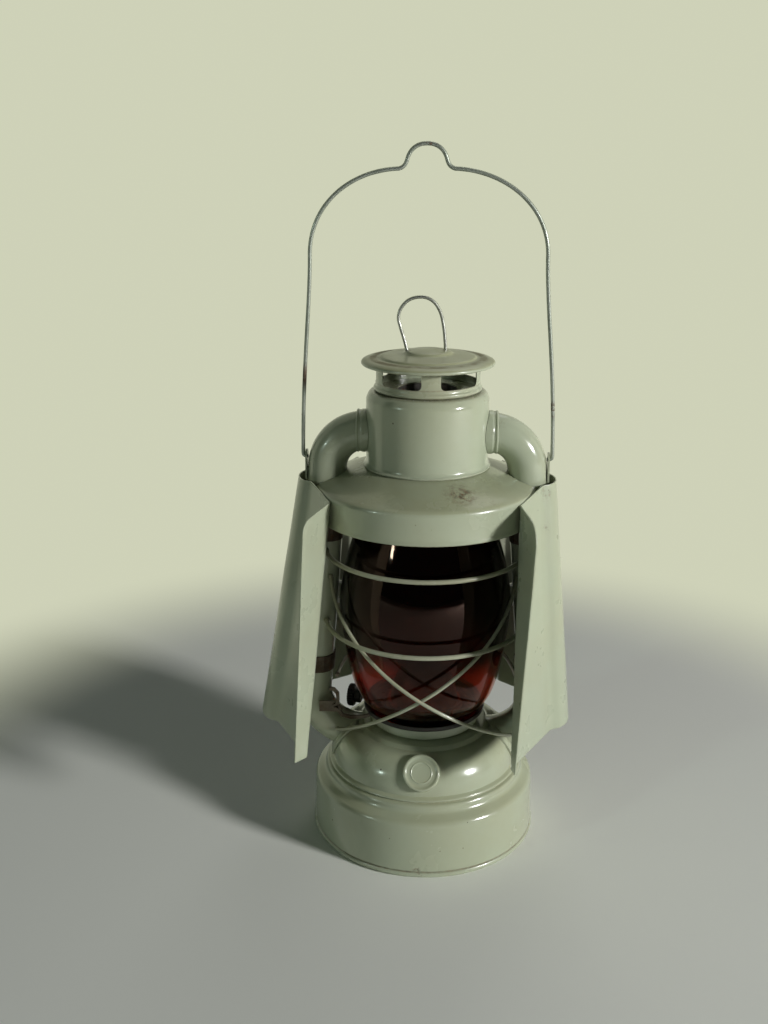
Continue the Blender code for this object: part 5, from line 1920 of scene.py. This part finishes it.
@dataclass
class Studio:
    """Pale floor, plain soft lights and the photograph's camera. Distances are in metres."""

    lights: tuple[Light, ...] = (Light("key", 77.0, 0.40, 62, 16),
                                 Light("fill", 6.2, 0.20, -52, 14, (0.80, 1.0, 0.88)),
                                 Light("back", 5.0, 1.2, 170, 48))
    away: float = 3.0
    aim_z: float = 0.2
    sky: float = 0.024
    sky_colour: Colour = (0.80, 1.0, 0.90)
    backdrop: Colour = Paper.far
    floor_size: float = 6000.0
    lens: float = 39.34
    film: float = 36.0
    eye: Point = (0.0151, -0.7063, 0.4592)
    tilt: float = -18.03
    pan: float = 3.5

    def floor(self) -> None:
        """Lay the ground under the lamp."""
        bm = bmesh.new()
        bmesh.ops.create_grid(bm, x_segments=1, y_segments=1, size=self.floor_size)
        item = piece("floor", bm)
        item.data.materials.append(Paper().make("floor_finish"))

    def hang(self, light: Light) -> None:
        """Hang a light.

        Args:
            light: The light.
        """
        data = bpy.data.lights.new(light.name, "AREA")
        data.energy = light.power
        data.size = light.size
        data.color = light.colour
        turn, rise = math.radians(light.azimuth), math.radians(light.elevation)
        way = Vector((math.sin(turn) * math.cos(rise), -math.cos(turn) * math.cos(rise), math.sin(rise)))
        item = bpy.data.objects.new(light.name, data)
        item.location = Vector((0, 0, self.aim_z)) + way * self.away
        item.rotation_euler = (-way).to_track_quat("-Z", "Y").to_euler()
        bpy.context.scene.collection.objects.link(item)

    def surround(self) -> None:
        """Fill the room with plain light, and show it pale behind the lamp."""
        world = bpy.data.worlds.new("surround")
        bpy.context.scene.world = world
        world.use_nodes = True
        tree = Nodes(world.node_tree)
        plain = tree.nodes["Background"]
        tree.give(plain, Color=self.sky_colour, Strength=self.sky)
        pale = tree.add("ShaderNodeBackground")
        tree.give(pale, Color=self.backdrop)
        split = tree.add("ShaderNodeSeparateXYZ")
        tree.feed(split.inputs[0], tree.add("ShaderNodeTexCoord").outputs["Generated"])
        mixed = tree.mix_shaders(tree.backdrop_share(split.outputs["Y"]), plain.outputs[0], pale.outputs[0])
        tree.give(tree.nodes["World Output"], Surface=mixed)

    def camera(self) -> None:
        """Set up the camera at the photograph's place."""
        data = bpy.data.cameras.new("photograph")
        data.sensor_fit = "VERTICAL"
        data.sensor_height = self.film
        data.lens = self.lens
        data.clip_start = 0.01
        item = bpy.data.objects.new("photograph", data)
        item.location = self.eye
        item.rotation_euler = (math.radians(90 + self.tilt), 0, math.radians(self.pan))
        bpy.context.scene.collection.objects.link(item)
        bpy.context.scene.camera = item

    def build(self) -> None:
        """Set up the floor, the lights and the camera."""
        bpy.context.scene.view_settings.view_transform = "Standard"
        self.floor()
        for light in self.lights:
            self.hang(light)
        self.surround()
        self.camera()


def main() -> None:
    """Build the lamp piece by piece, then the room round it."""
    logging.basicConfig(level=logging.INFO, format="%(name)s: %(message)s")
    noise.seed_set(SEED)
    tubes = Tubes()
    right = Screen(finish=Enamel(
        marks=(Mark((77, -15, 247), 6, 0.6), Mark((78, -17, 226), 5, 0.5), Mark((76, -16, 251), 4, 0.6),
               Mark((95, -10, 196), 3, 0.6), Mark((99, -8, 150), 3, 0.5), Mark((90, -60, 100), 8, 0.2)),
        gloss=0.30))
    left = Screen(side=Side.LEFT, spread=29.6, corner_r=7.0,
                  front=Wing((29.0, 29.0), (32.0, 53.5), (22.5, 40.0), (34.5, 10.5)),
                  rear=Wing((27.5, 54.6), (38.3, 54.7), (-10.0, -8.0), (34.5, 8.0)),
                  finish=Enamel(marks=(Mark((-84, -6, 252), 6, 0.4), Mark((-92, -24, 150), 6, 0.25),
                                       Mark((-90, -55, 92), 8, 0.25)), gloss=0.30))
    for part in (Tank(), Burner(), Globe(), tubes, Top(tubes=tubes), Bail(), Guard(tubes=tubes), right,
                 left, Lever()):
        LOG.info("building %s", type(part).__name__)
        part.build()
    Studio().build()


if __name__ == "__main__":
    main()
